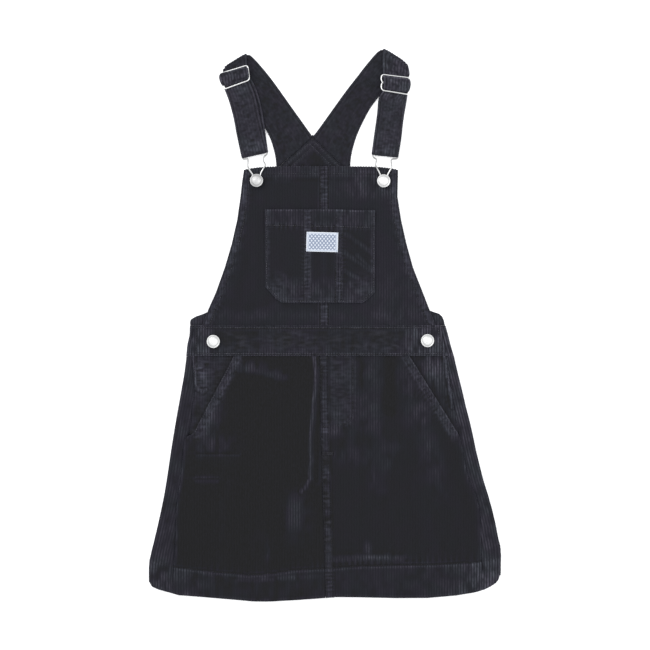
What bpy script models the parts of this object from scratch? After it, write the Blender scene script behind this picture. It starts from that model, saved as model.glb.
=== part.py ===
"""A child's corduroy dungaree dress, laid flat with its front up.

Sizes are in millimetres and become metres where a mesh is made. +X is to the right of someone who looks down on
the dress, +Y runs from the hem to the straps, and +Z points up. The origin lies under the middle of the dress, on
the surface it rests on. Every cloth panel is a grid whose points come from an outline table and a height rule.
The grid is the panel's outer side, and a Solidify modifier gives it its wall.
"""

import math
from collections import namedtuple

import bmesh
import bpy
import numpy as np
from mathutils import Vector

MM = 0.001

# Thicknesses of what the dress is made of, and the slit left between neighbours.
CLOTH = 1.6
WAISTBAND = 2.6
STRAP = 2.4
LABEL = 0.7
GAP = 0.3

# Lines across the dress.
BAND_BOTTOM = -37.5
BAND_TOP = -0.5
SKIRT_TOP = BAND_BOTTOM - GAP
BIB_BOTTOM = BAND_TOP + GAP
HEM_NOMINAL = -331.0
HEM_DEPTH = 34.0
POCKET_END = -133.0
POCKET_MOUTH_TOP = -45.0

# Heights of outer sides above the surface that the dress lies on.
FRONT_HEIGHT = 4.1
FACING_HEIGHT = 3.7
SEAM_HEIGHT = 4.9
MOUTH_RISE = 1.7
LIP_HEIGHT = 4.4
SIDE_ROLL_HEIGHT = 6.4
SIDE_ROLL_DEPTH = 4.5
BAND_HEIGHT = 5.8
BAND_ROLL_HEIGHT = 6.2
BAND_ROLL_DEPTH = 3.5

# Metal.
WIRE_RADIUS = 0.95
WIRE_CLEARANCE = 0.6
SHANK_RADIUS = 2.4
BIB_SHANK = 3.6
WAIST_SHANK = 1.2

CENTRE_SEAM_BIB = -0.95

# The skirt from the hem up: its two outer edges, and the side seams where the back, wrapped round, meets the front.
SkirtRow = namedtuple("SkirtRow", "y left_edge left_seam right_seam right_edge")
SKIRT = [
    SkirtRow(-331.0, -214.6, -185.5, 191.0, 213.0),
    SkirtRow(-311.0, -214.6, -185.0, 191.0, 213.0),
    SkirtRow(-298.8, -213.9, -184.5, 191.0, 213.6),
    SkirtRow(-280.5, -211.7, -183.5, 190.7, 214.6),
    SkirtRow(-262.2, -207.6, -182.5, 190.4, 211.3),
    SkirtRow(-243.9, -203.6, -182.0, 190.0, 208.4),
    SkirtRow(-225.6, -199.6, -181.5, 188.8, 204.1),
    SkirtRow(-207.3, -195.8, -179.5, 184.5, 199.0),
    SkirtRow(-189.0, -192.8, -176.3, 176.0, 193.1),
    SkirtRow(-170.7, -190.1, -174.3, 171.5, 188.6),
    SkirtRow(-152.4, -187.4, -173.0, 168.7, 184.1),
    SkirtRow(-140.0, -185.4, -172.0, 165.6, 181.6),
    SkirtRow(-133.0, -184.3, -166.0, 164.0, 180.2),
    SkirtRow(-115.8, -181.4, -162.5, 159.7, 176.2),
    SkirtRow(-97.5, -178.1, -161.5, 157.0, 171.4),
    SkirtRow(-79.2, -174.8, -158.5, 154.6, 167.3),
    SkirtRow(-60.9, -171.5, -160.5, 151.7, 162.6),
    SkirtRow(-42.6, -169.1, -161.5, 148.8, 158.4),
    SkirtRow(-37.8, -168.6, -161.6, 148.0, 157.4),
]

# The bottom edge of the hem, from left to right.
HemPoint = namedtuple("HemPoint", "x y")
HEM = [
    HemPoint(-214.6, -313.0),
    HemPoint(-211.0, -318.3),
    HemPoint(-202.5, -322.0),
    HemPoint(-190.0, -325.7),
    HemPoint(-178.0, -329.0),
    HemPoint(-149.0, -331.2),
    HemPoint(-116.0, -334.0),
    HemPoint(-88.0, -336.4),
    HemPoint(-65.0, -336.4),
    HemPoint(-37.0, -335.0),
    HemPoint(-9.0, -333.0),
    HemPoint(14.0, -331.2),
    HemPoint(43.0, -331.5),
    HemPoint(87.0, -332.5),
    HemPoint(125.0, -332.3),
    HemPoint(160.0, -329.3),
    HemPoint(182.0, -325.7),
    HemPoint(195.0, -322.0),
    HemPoint(202.0, -318.3),
    HemPoint(207.5, -314.7),
    HemPoint(211.2, -311.0),
    HemPoint(213.6, -305.0),
]

# The skirt's centre front seam, which leans a little.
SeamPoint = namedtuple("SeamPoint", "y x")
SKIRT_CENTRE = [SeamPoint(-331.0, 1.0), SeamPoint(-200.0, -3.0), SeamPoint(-37.8, -7.0)]

# Slant pocket mouths: where the mouth line starts near the waist and where it meets the side.
Mouth = namedtuple("Mouth", "top_x top_y end_x end_y")
MOUTHS = {
    "left": Mouth(-115.0, POCKET_MOUTH_TOP, -161.0, POCKET_END),
    "right": Mouth(108.0, POCKET_MOUTH_TOP, 163.0, POCKET_END),
}

# The waistband's front ends lean with the sides of the dress.
BandEnd = namedtuple("BandEnd", "y front_left front_right back_left back_right")
BAND_ENDS = [
    BandEnd(-37.5, -162.0, 148.0, -168.6, 157.2),
    BandEnd(-24.0, -161.7, 145.6, -167.4, 153.2),
    BandEnd(-0.5, -160.2, 141.5, -164.9, 147.2),
]

# The bib's side edges, from the waist up.
BibRow = namedtuple("BibRow", "y left_edge right_edge")
BIB = [
    BibRow(-0.2, -149.5, 135.0),
    BibRow(20.0, -142.0, 127.2),
    BibRow(40.0, -133.0, 119.5),
    BibRow(70.0, -122.3, 107.6),
    BibRow(99.0, -113.8, 99.6),
    BibRow(128.0, -107.2, 93.1),
    BibRow(157.0, -103.1, 88.6),
    BibRow(175.0, -101.2, 89.0),
    BibRow(190.0, -98.8, 89.2),
]
BIB_TOP = 193.7
BIB_CORNER_DROP = 4.4

# The back above the waist, whose wings show beside the bib, up to the V where the straps are sewn on.
BackRow = namedtuple("BackRow", "y left_edge middle right_edge")
BACK_BIB = [
    BackRow(-0.2, -164.6, -10.0, 146.8),
    BackRow(5.0, -164.3, -10.0, 145.3),
    BackRow(9.0, -161.5, -10.0, 144.3),
    BackRow(13.0, -150.0, -10.5, 141.5),
    BackRow(15.6, -144.8, -10.5, 136.5),
    BackRow(18.0, -139.0, -10.6, 127.0),
    BackRow(30.0, -124.0, -11.0, 116.0),
    BackRow(55.0, -110.0, -12.0, 98.0),
    BackRow(90.0, -90.0, -13.0, 75.0),
    BackRow(130.0, -73.0, -14.0, 50.0),
    BackRow(165.0, -63.0, -14.7, 35.0),
    BackRow(190.5, -58.3, -14.9, 29.8),
]
YOKE_APEX = 230.2
YOKE_RIGHT_CORNER = 186.0

# The bib pocket from its bottom edge up, with the two felled seams between its three panels.
PocketRow = namedtuple("PocketRow", "y left_edge left_seam right_seam right_edge")
BIB_POCKET = [
    PocketRow(27.0, -52.0, -21.5, 15.0, 46.0),
    PocketRow(32.0, -60.0, -21.5, 15.5, 53.5),
    PocketRow(40.0, -66.5, -21.3, 16.0, 61.0),
    PocketRow(46.5, -72.6, -21.2, 16.3, 61.0),
    PocketRow(70.0, -72.8, -21.0, 17.0, 61.0),
    PocketRow(95.0, -73.0, -21.0, 17.5, 61.2),
    PocketRow(121.0, -73.0, -21.0, 17.6, 61.3),
    PocketRow(139.0, -73.0, -21.0, 17.6, 61.3),
]

LABEL_MIDDLE = (-3.3, 101.3)
LABEL_SIZE = (38.7, 24.0)
LABEL_TURN = math.radians(-1.5)

# Folds of the front, each a soft ridge (or a trough, where the height is negative) along a short line.
Fold = namedtuple("Fold", "x0 y0 x1 y1 height width")
SKIRT_FOLDS = [
    Fold(-10.0, -42.0, -11.0, -80.0, 3.6, 8.0),
    Fold(-11.0, -80.0, -19.0, -140.0, 4.8, 9.0),
    Fold(-19.0, -140.0, -18.0, -185.0, 4.6, 9.0),
    Fold(-18.0, -185.0, -38.0, -245.0, 2.6, 10.0),
    Fold(34.0, -50.0, 32.0, -150.0, 1.8, 10.0),
    Fold(58.0, -60.0, 66.0, -200.0, 2.0, 12.0),
    Fold(-38.0, -200.0, -44.0, -262.0, 1.8, 12.0),
    Fold(-80.0, -262.0, -74.0, -334.0, 2.6, 18.0),
    Fold(30.0, -287.0, 92.0, -286.0, 1.6, 9.0),
    Fold(118.0, -190.0, 132.0, -285.0, 1.4, 14.0),
    Fold(-120.0, -170.0, -128.0, -290.0, 1.2, 14.0),
]
BIB_FOLDS = [
    Fold(-60.0, 22.0, -95.0, 8.0, 1.0, 8.0),
    Fold(48.0, 20.0, 84.0, 6.0, 1.0, 8.0),
    Fold(-118.0, 40.0, -106.0, 92.0, 0.9, 9.0),
    Fold(104.0, 36.0, 94.0, 84.0, 0.9, 9.0),
]

# Each strap from the yoke to its loop: its edge towards the neck, its edge towards the arm, and its middle height.
StrapRow = namedtuple("StrapRow", "neck_x neck_y arm_x arm_y z")
LOW = STRAP / 2
LEFT_BACK = [
    StrapRow(-15.2, 230.6, -58.9, 190.9, LOW),
    StrapRow(-24.4, 242.8, -61.2, 209.0, LOW),
    StrapRow(-34.9, 257.5, -67.5, 229.5, LOW),
    StrapRow(-45.3, 272.1, -78.0, 248.0, LOW),
    StrapRow(-55.8, 286.8, -88.5, 265.0, LOW),
    StrapRow(-66.4, 301.4, -98.5, 281.5, LOW),
    StrapRow(-78.4, 316.0, -110.0, 297.0, LOW),
    StrapRow(-88.5, 326.0, -118.0, 307.0, LOW),
]
LEFT_SHOULDER = StrapRow(-94.5, 329.5, -122.3, 312.0, 3.0)
LEFT_SLIDER_ENTRY = StrapRow(-94.8, 315.4, -124.9, 309.3, 4.8)
LEFT_SLIDER_BAR = StrapRow(-94.3, 307.2, -128.4, 300.2, 11.5)
LEFT_SLIDER_EXIT = StrapRow(-92.2, 299.2, -122.6, 288.6, 6.6)
LEFT_FRONT = [
    StrapRow(-85.3, 279.5, -116.2, 272.5, 6.6),
    StrapRow(-80.5, 257.5, -111.4, 252.5, 6.6),
    StrapRow(-75.4, 235.5, -107.2, 230.0, 6.6),
]
LEFT_LOOP = StrapRow(-69.8, 214.4, -102.4, 209.3, 4.35)
LEFT_RETURN = [
    StrapRow(-71.8, 229.0, -105.0, 224.0, 3.8),
    StrapRow(-75.4, 255.0, -108.0, 250.0, 3.9),
    StrapRow(-80.5, 278.0, -113.0, 271.0, 3.9),
    StrapRow(-86.5, 294.0, -118.5, 285.0, 3.95),
    StrapRow(-92.5, 303.5, -121.5, 296.0, 5.3),
]
RIGHT_BACK = [
    StrapRow(-14.5, 230.6, 30.2, 186.4, LOW),
    StrapRow(-4.9, 242.8, 32.4, 208.0, LOW),
    StrapRow(5.7, 257.5, 38.4, 230.0, LOW),
    StrapRow(16.2, 272.1, 47.4, 250.0, LOW),
    StrapRow(26.8, 286.8, 56.8, 267.0, LOW),
    StrapRow(38.1, 301.4, 68.0, 281.5, LOW),
    StrapRow(49.9, 316.0, 80.5, 296.0, LOW),
    StrapRow(62.2, 328.5, 92.5, 308.5, LOW),
]
RIGHT_SHOULDER = StrapRow(71.6, 334.0, 99.6, 314.2, 3.0)
RIGHT_SLIDER_ENTRY = StrapRow(70.6, 305.6, 102.4, 301.6, 4.8)
RIGHT_SLIDER_BAR = StrapRow(71.4, 295.6, 104.4, 292.2, 11.5)
RIGHT_SLIDER_EXIT = StrapRow(70.4, 285.8, 101.0, 281.2, 6.6)
RIGHT_FRONT = [
    StrapRow(65.4, 276.0, 99.4, 272.5, 6.2),
    StrapRow(63.6, 257.5, 96.2, 254.0, 4.6),
    StrapRow(60.5, 235.5, 93.6, 232.0, 4.8),
]
RIGHT_LOOP = StrapRow(57.6, 214.5, 90.2, 210.6, 4.35)
RIGHT_RETURN = [
    StrapRow(61.0, 229.0, 93.0, 225.0, 1.7),
    StrapRow(64.0, 254.0, 96.0, 250.5, 1.7),
    StrapRow(66.8, 274.0, 99.2, 270.5, 3.5),
    StrapRow(70.2, 283.0, 100.6, 279.5, 3.9),
    StrapRow(71.6, 291.0, 101.0, 287.5, 5.3),
]

# Slider frames, each corner in turn, with the heights of its two long bars.
Slider = namedtuple("Slider", "top_left top_right bottom_right bottom_left top_z bottom_z")
SLIDERS = {
    "left": Slider((-127.2, 309.0), (-93.2, 315.9), (-90.7, 299.7), (-125.2, 287.4), 7.5, 9.35),
    "right": Slider((68.9, 305.4), (104.3, 301.2), (103.0, 280.6), (68.9, 286.2), 7.5, 9.35),
}
SLIDER_CORNER = 1.8
SLIDER_PINCH = 1.0

# Hooks: half of the wire's round, from the end of the bar in the strap's loop down to the button's neck.
HookPoint = namedtuple("HookPoint", "x y z")
HOOKS = {
    "left": [
        HookPoint(-105.2, 208.8, 4.35),
        HookPoint(-105.4, 206.2, 4.5),
        HookPoint(-102.0, 203.6, 4.9),
        HookPoint(-97.0, 202.6, 5.4),
        HookPoint(-93.6, 200.8, 6.0),
        HookPoint(-93.6, 196.0, 6.9),
        HookPoint(-93.8, 191.4, 7.0),
        HookPoint(-90.0, 185.6, 6.6),
        HookPoint(-87.1, 180.0, 5.9),
        HookPoint(-86.9, 176.0, 5.9),
        HookPoint(-85.2, 173.3, 5.9),
        HookPoint(-82.6, 172.8, 5.9),
        HookPoint(-80.1, 174.4, 5.9),
        HookPoint(-79.2, 177.6, 5.9),
        HookPoint(-78.4, 183.4, 6.4),
        HookPoint(-74.8, 191.0, 7.0),
        HookPoint(-74.5, 196.0, 6.9),
        HookPoint(-75.3, 202.0, 6.0),
        HookPoint(-73.4, 205.4, 5.4),
        HookPoint(-69.2, 207.4, 4.9),
        HookPoint(-66.8, 210.6, 4.5),
        HookPoint(-67.0, 214.3, 4.35),
    ],
    "right": [
        HookPoint(54.8, 214.2, 4.35),
        HookPoint(54.0, 209.6, 4.5),
        HookPoint(56.0, 205.6, 4.9),
        HookPoint(60.4, 203.9, 5.4),
        HookPoint(63.4, 201.4, 6.0),
        HookPoint(62.2, 196.6, 6.9),
        HookPoint(62.9, 191.4, 7.0),
        HookPoint(66.0, 185.4, 6.6),
        HookPoint(67.9, 180.0, 5.9),
        HookPoint(68.1, 175.6, 5.9),
        HookPoint(69.8, 172.6, 5.9),
        HookPoint(72.6, 172.2, 5.9),
        HookPoint(75.0, 174.2, 5.9),
        HookPoint(75.5, 178.0, 5.9),
        HookPoint(76.8, 183.6, 6.4),
        HookPoint(81.2, 191.4, 7.0),
        HookPoint(81.2, 196.6, 6.9),
        HookPoint(80.5, 201.2, 6.0),
        HookPoint(84.0, 203.2, 5.4),
        HookPoint(89.0, 204.2, 4.9),
        HookPoint(92.9, 206.0, 4.5),
        HookPoint(93.0, 210.2, 4.35),
    ],
}
HOOK_POINTS = 52

# Buttons: middle and shank height. The bib's stand off far enough for the hook's wire.
Button = namedtuple("Button", "x y shank")
BUTTONS = {
    "button_bib_left": Button(-83.3, 176.7, BIB_SHANK),
    "button_bib_right": Button(71.7, 176.0, BIB_SHANK),
    "button_waist_left": Button(-136.0, -20.0, WAIST_SHANK),
    "button_waist_right": Button(125.0, -19.0, WAIST_SHANK),
}
BUTTON_RADIUS = 8.5

# Grid sizes: quads across and along each kind of panel.
FRONT_ACROSS = 15
FLAT_ACROSS = 8
SIDE_TURN = (90, 45, 0, -45, -90)
WRAPPED_ACROSS = FLAT_ACROSS + 2 * len(SIDE_TURN)
BIB_ACROSS = 8
BAND_ACROSS = 20
STRAP_ACROSS = 4
TURN_STEPS = 5
SLIDER_STEPS = 6


def clear_scene():
    for thing in list(bpy.data.objects):
        bpy.data.objects.remove(thing)


def collection(name, hidden=False):
    made = bpy.data.collections.new(name)
    bpy.context.scene.collection.children.link(made)
    made.hide_render = hidden
    return made


def material(name, colour, roughness, metallic=0.0):
    made = bpy.data.materials.new(name)
    made.use_nodes = True
    shader = made.node_tree.nodes["Principled BSDF"]
    shader.inputs["Base Color"].default_value = (*colour, 1.0)
    shader.inputs["Roughness"].default_value = roughness
    shader.inputs["Metallic"].default_value = metallic
    return made


def at(rows, key, value, column):
    """A table's column, read at a value of its key column, which rises down the table."""
    return float(np.interp(value, [getattr(r, key) for r in rows], [getattr(r, column) for r in rows]))


def smooth(t):
    t = min(max(t, 0.0), 1.0)
    return t * t * (3 - 2 * t)


def bump(distance, width):
    return math.exp(-((distance / width) ** 2))


def to_segment(x, y, x0, y0, x1, y1):
    """Distance in plan from a point to a short line."""
    along = Vector((x1 - x0, y1 - y0))
    t = Vector((x - x0, y - y0)).dot(along) / along.length_squared
    t = min(max(t, 0.0), 1.0)
    return math.hypot(x - x0 - along.x * t, y - y0 - along.y * t)


def folds(table, x, y):
    """Height that the folds add: the highest ridge and the deepest trough that reach the point."""
    reached = [f.height * bump(to_segment(x, y, f.x0, f.y0, f.x1, f.y1), f.width) for f in table]
    return max(max(reached), 0.0) + min(min(reached), 0.0)


# Heights of the cloth's outer sides.
def mouth_x(side, y):
    mouth = MOUTHS[side]
    return mouth.end_x + (y - mouth.end_y) * (mouth.top_x - mouth.end_x) / (mouth.top_y - mouth.end_y)


def skirt_height(x, y):
    """The front of the skirt: nearly flat, higher at its side seams, pocket mouths, hem and folds."""
    to_side = min(x - at(SKIRT, "y", y, "left_seam"), at(SKIRT, "y", y, "right_seam") - x)
    height = FRONT_HEIGHT + (SEAM_HEIGHT - FRONT_HEIGHT) * bump(max(to_side, 0.0), 10.0)
    for side, mouth in MOUTHS.items():
        line = to_segment(x, y, mouth_x(side, SKIRT_TOP), SKIRT_TOP, mouth.end_x, mouth.end_y)
        height = max(height, FRONT_HEIGHT + MOUTH_RISE * bump(line, 12.0))
    height += 0.9 * smooth((at(HEM, "x", x, "y") + HEM_DEPTH - y) / 4.0 + 0.5)
    return height + folds(SKIRT_FOLDS, x, y)


def facing_height(side, x, y):
    """A pocket facing: low at the mouth and higher along the side, where it is hemmed."""
    seam = at(SKIRT, "y", y, side + "_seam")
    rise = (SEAM_HEIGHT - FACING_HEIGHT) * bump(x - seam, 6.0)
    return FACING_HEIGHT + rise * smooth((y - POCKET_END) / 25.0)


def bib_top(x):
    middle = (BIB[-1].left_edge + BIB[-1].right_edge) / 2
    half = (BIB[-1].right_edge - BIB[-1].left_edge) / 2
    return BIB_TOP - BIB_CORNER_DROP * abs((x - middle) / half) ** 6


def bib_height(x, y):
    """The bib: flat, with thicker hems, a felled middle seam, and a rise into the waistband."""
    to_side = min(x - at(BIB, "y", y, "left_edge"), at(BIB, "y", y, "right_edge") - x)
    height = FRONT_HEIGHT + 0.8 * bump(max(to_side, 0.0), 6.0)
    height += 0.5 * bump(x - CENTRE_SEAM_BIB, 6.0)
    height += 1.1 * smooth((y - 176.0) / 10.0)
    height += 0.9 * bump(max(y - BIB_BOTTOM, 0.0), 12.0)
    return height + folds(BIB_FOLDS, x, y)


def pocket_height(x, y):
    """The bib pocket lies on the bib, and is thicker at its top hem."""
    return bib_height(x, y) + GAP + CLOTH + 0.6 * smooth((y - 119.0) / 6.0)


def band_height(x, y):
    """The front waistband: a shallow crown across its width, a little higher at its ends."""
    middle = (BAND_TOP + BAND_BOTTOM) / 2
    crown = 0.5 * (1 - (2 * (y - middle) / (BAND_TOP - BAND_BOTTOM)) ** 2)
    return BAND_HEIGHT + crown + 0.4 * bump(x - BAND_ENDS[0].front_left, 25.0) + 0.4 * bump(
        x - BAND_ENDS[0].front_right, 25.0
    )


# Makers of objects.
def add_object(name, mesh, finish, parts):
    made = bpy.data.objects.new(name, mesh)
    if finish:
        mesh.materials.append(finish)
    parts.objects.link(made)
    return made


def cloth(name, across, along, place, wall, finish, parts, side=-1.0):
    """A grid of across by along quads. place(i, j) gives a point in millimetres, and the wall goes to one side."""
    mesh = bpy.data.meshes.new(name)
    grid = bmesh.new()
    bmesh.ops.create_grid(grid, x_segments=across, y_segments=along, size=0.5)
    for vert in grid.verts:
        i = round((vert.co.x + 0.5) * across)
        j = round((vert.co.y + 0.5) * along)
        vert.co = Vector(place(i, j)) * MM
    grid.to_mesh(mesh)
    grid.free()
    mesh.shade_smooth()
    made = add_object(name, mesh, finish, parts)
    thick = made.modifiers.new("wall", "SOLIDIFY")
    thick.thickness = wall * MM
    thick.offset = side
    return made


def hem_shift(x, y):
    """Brings a row near the bottom onto the curve of the hem."""
    share = smooth((-240.0 - y) / (-240.0 - HEM_NOMINAL))
    return y + (at(HEM, "x", x, "y") - HEM_NOMINAL) * share


def skirt_rows(lowest):
    """Heights of the skirt's grid rows from one up: those of its table, and one between each two of them."""
    table = [row.y for row in SKIRT if row.y >= lowest]
    between = [(a + b) / 2 for a, b in zip(table, table[1:])]
    return sorted(table + between)


def skirt_front(side, finish, parts):
    """One front panel, from its pocket mouth and side seam to the centre seam."""
    rows = skirt_rows(HEM_NOMINAL)

    def place(i, j):
        y = rows[j]
        middle = at(SKIRT_CENTRE, "y", y, "x")
        outer = mouth_x(side, y) if y >= POCKET_END else at(SKIRT, "y", y, side + "_seam")
        share = i / FRONT_ACROSS
        if side == "left":
            # Columns crowd towards the centre seam, where the deepest fold runs.
            x = outer + (middle - GAP / 2 - outer) * (1 - (1 - share) ** 1.5)
        else:
            x = middle + GAP / 2 + (outer - middle - GAP / 2) * share**1.2
        y = hem_shift(x, y)
        return x, y, skirt_height(x, y)

    return cloth("skirt_front_" + side, FRONT_ACROSS, len(rows) - 1, place, CLOTH, finish, parts)


def pocket_facing(side, finish, parts):
    """The cloth between a pocket mouth and the side, its inner edge a little way under the front."""
    rows = skirt_rows(POCKET_END)
    across = 4
    tuck = 4.0 if side == "left" else -4.0

    def place(i, j):
        y = rows[j]
        ends = at(SKIRT, "y", y, side + "_seam"), mouth_x(side, y) + tuck
        left, right = min(ends), max(ends)
        x = left + (right - left) * i / across
        return x, y, facing_height(side, x, y)

    return cloth("pocket_facing_" + side, across, len(rows) - 1, place, CLOTH, finish, parts)


def wrapped(left, right, left_lip, right_lip, lip, roll_height, roll_depth):
    """Outer side of a layer that lies flat and rolls up round both sides, from its right lip to its left lip."""
    radius = roll_height / 2
    turns = [math.radians(a) for a in SIDE_TURN]
    right_arc = [
        (right - roll_depth + roll_depth * math.cos(a), radius + radius * math.sin(a)) for a in turns
    ]
    left_arc = [(left + roll_depth - roll_depth * math.cos(a), radius + radius * math.sin(a)) for a in turns]
    width = right - left
    flat = [(right - width * k / FLAT_ACROSS, 0.0) for k in range(1, FLAT_ACROSS)]
    right_top = [(right_lip, lip)]
    left_top = [(left_lip, lip)]
    return [*right_top, *right_arc, *flat, *reversed(left_arc), *left_top]


def skirt_back(finish, parts):
    """The back panel, wrapped round both sides. Its underside ends just inside the front's hem."""
    def place(i, j):
        row = SKIRT[j]
        profile = wrapped(
            row.left_edge,
            row.right_edge,
            row.left_seam - GAP,
            row.right_seam + GAP,
            LIP_HEIGHT,
            SIDE_ROLL_HEIGHT,
            SIDE_ROLL_DEPTH,
        )
        x, z = profile[i]
        tuck = 1.0 if z == 0.0 else 0.0
        return x, hem_shift(x, row.y) + tuck * (j == 0), z

    return cloth("skirt_back", WRAPPED_ACROSS, len(SKIRT) - 1, place, CLOTH, finish, parts)


def waistband_back(finish, parts):
    def place(i, j):
        row = BAND_ENDS[j]
        profile = wrapped(
            row.back_left,
            row.back_right,
            row.front_left - GAP,
            row.front_right + GAP,
            BAND_ROLL_HEIGHT - 0.2,
            BAND_ROLL_HEIGHT,
            BAND_ROLL_DEPTH,
        )
        x, z = profile[i]
        return x, row.y, z

    return cloth("waistband_back", WRAPPED_ACROSS, len(BAND_ENDS) - 1, place, WAISTBAND, finish, parts)


def waistband_front(finish, parts):
    rows = np.linspace(BAND_BOTTOM, BAND_TOP, 5)

    def place(i, j):
        y = rows[j]
        left = at(BAND_ENDS, "y", y, "front_left")
        right = at(BAND_ENDS, "y", y, "front_right")
        x = left + (right - left) * i / BAND_ACROSS
        return x, y, band_height(x, y)

    return cloth("waistband_front", BAND_ACROSS, len(rows) - 1, place, WAISTBAND, finish, parts)


def bib_half(side, finish, parts):
    rows = np.linspace(BIB_BOTTOM, BIB[-1].y, 15)

    def place(i, j):
        y = rows[j]
        share = i / BIB_ACROSS
        if side == "left":
            left, right = at(BIB, "y", y, "left_edge"), CENTRE_SEAM_BIB - GAP / 2
        else:
            left, right = CENTRE_SEAM_BIB + GAP / 2, at(BIB, "y", y, "right_edge")
        x = left + (right - left) * share
        # The last rows rise to the curve of the top edge.
        y += (bib_top(x) - BIB[-1].y) * smooth((y - 150.0) / (BIB[-1].y - 150.0))
        return x, y, bib_height(x, y)

    return cloth("bib_" + side, BIB_ACROSS, len(rows) - 1, place, CLOTH, finish, parts)


def bib_pocket(which, finish, parts):
    """One of the three panels of the bib pocket, between two of the pocket's lines."""
    lines = {
        "left": ("left_edge", "left_seam"),
        "middle": ("left_seam", "right_seam"),
        "right": ("right_seam", "right_edge"),
    }[which]
    across = 4

    def place(i, j):
        row = BIB_POCKET[j]
        left = getattr(row, lines[0]) + (0.0 if which == "left" else GAP / 2)
        right = getattr(row, lines[1]) - (0.0 if which == "right" else GAP / 2)
        x = left + (right - left) * i / across
        return x, row.y, pocket_height(x, row.y)

    return cloth("bib_pocket_" + which, across, len(BIB_POCKET) - 1, place, CLOTH, finish, parts)


def label(finish, parts):
    across, along = 6, 4
    turn = Vector((math.cos(LABEL_TURN), math.sin(LABEL_TURN)))

    def place(i, j):
        u = (i / across - 0.5) * LABEL_SIZE[0]
        v = (j / along - 0.5) * LABEL_SIZE[1]
        x = LABEL_MIDDLE[0] + u * turn.x - v * turn.y
        y = LABEL_MIDDLE[1] + u * turn.y + v * turn.x
        return x, y, pocket_height(x, y) + GAP + LABEL

    return cloth("label", across, along, place, LABEL, finish, parts)


def yoke_line(x):
    """The V at the top of the back: two straight slopes that meet at the apex."""
    top = BACK_BIB[-1]
    xs = [top.left_edge, top.middle, top.right_edge]
    return float(np.interp(x, xs, [top.y, YOKE_APEX, YOKE_RIGHT_CORNER]))


def back_bib(finish, parts):
    """The back above the waist. Its underside lies on the surface, so its wall goes up."""
    across = 8

    def place(i, j):
        row = BACK_BIB[j]
        share = 2 * i / across
        if share <= 1:
            x = row.left_edge + (row.middle - row.left_edge) * share
        else:
            x = row.middle + (row.right_edge - row.middle) * (share - 1)
        lift = (row.y / BACK_BIB[-1].y) ** 6 if row.y > 0 else 0.0
        return x, row.y + (yoke_line(x) - BACK_BIB[-1].y) * lift, 0.0

    return cloth("back_bib", across, len(BACK_BIB) - 1, place, CLOTH, finish, parts, side=1.0)


def edges(row, height=None):
    z = row.z if height is None else height
    return Vector((row.neck_x, row.neck_y, z)), Vector((row.arm_x, row.arm_y, z))


def turn(row, radius, toward, upward):
    """A half turn of the ribbon about a line, bulging toward a side, from below to above or back down."""
    neck, arm = edges(row)
    line = (neck - arm).normalized()
    out = Vector((-line.y, line.x, 0.0))
    if out.dot(Vector((0.0, toward, 0.0))) < 0:
        out = -out
    angles = np.linspace(-math.pi / 2, math.pi / 2, TURN_STEPS + 1)
    if not upward:
        angles = angles[::-1]
    made = []
    for a in angles:
        shift = out * (radius * math.cos(a)) + Vector((0.0, 0.0, radius * math.sin(a)))
        made.append((neck + shift, arm + shift))
    return made


def weave(start, peak, end):
    """Under the slider's first bar, over its middle bar and under its last, as two half waves of height.

    Between the bars the ribbon keeps inside the frame. Its arm edge spills over the frame's side near the middle bar.
    """
    inside = edges(start)[1].lerp(edges(end)[1], 0.5)
    made = []
    for k in range(SLIDER_STEPS + 1):
        t = 2 * k / SLIDER_STEPS
        first, second, share = (start, peak, t) if t <= 1 else (peak, end, t - 1)
        rise = (1 - math.cos(math.pi * share)) / 2
        z = first.z + (second.z - first.z) * rise
        neck = edges(first)[0].lerp(edges(second)[0], share)
        narrow = edges(start)[1].lerp(inside, t) if t <= 1 else inside.lerp(edges(end)[1], share)
        arm = narrow.lerp(edges(peak)[1], max(1 - abs(1 - t), 0.0) ** 8)
        neck.z = arm.z = z
        made.append((neck, arm))
    return made


def strap(name, back, shoulder, slider, front, loop, back_again, finish, parts):
    """One ribbon from the yoke over the shoulder fold, through the slider, round the hook and up behind."""
    fold_radius = 1.8
    loop_radius = WIRE_RADIUS + WIRE_CLEARANCE + STRAP / 2
    path = [edges(row) for row in back]
    path += turn(shoulder, fold_radius, 1.0, True)
    path += weave(*slider)
    path += [edges(row) for row in front]
    path += turn(loop, loop_radius, -1.0, False)
    path += [edges(row) for row in back_again]

    def place(i, j):
        neck, arm = path[j]
        return neck.lerp(arm, i / STRAP_ACROSS)

    return cloth(name, STRAP_ACROSS, len(path) - 1, place, STRAP, finish, parts, side=0.0)


def wire(name, points, finish, parts):
    """A closed round of wire through the points."""
    curve = bpy.data.curves.new(name, "CURVE")
    curve.dimensions = "3D"
    curve.bevel_depth = WIRE_RADIUS * MM
    curve.bevel_resolution = 2
    spline = curve.splines.new("POLY")
    spline.points.add(len(points) - 1)
    for knot, point in zip(spline.points, points):
        knot.co = (*(Vector(point) * MM), 1.0)
    spline.use_cyclic_u = True
    return add_object(name, curve, finish, parts)


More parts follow.
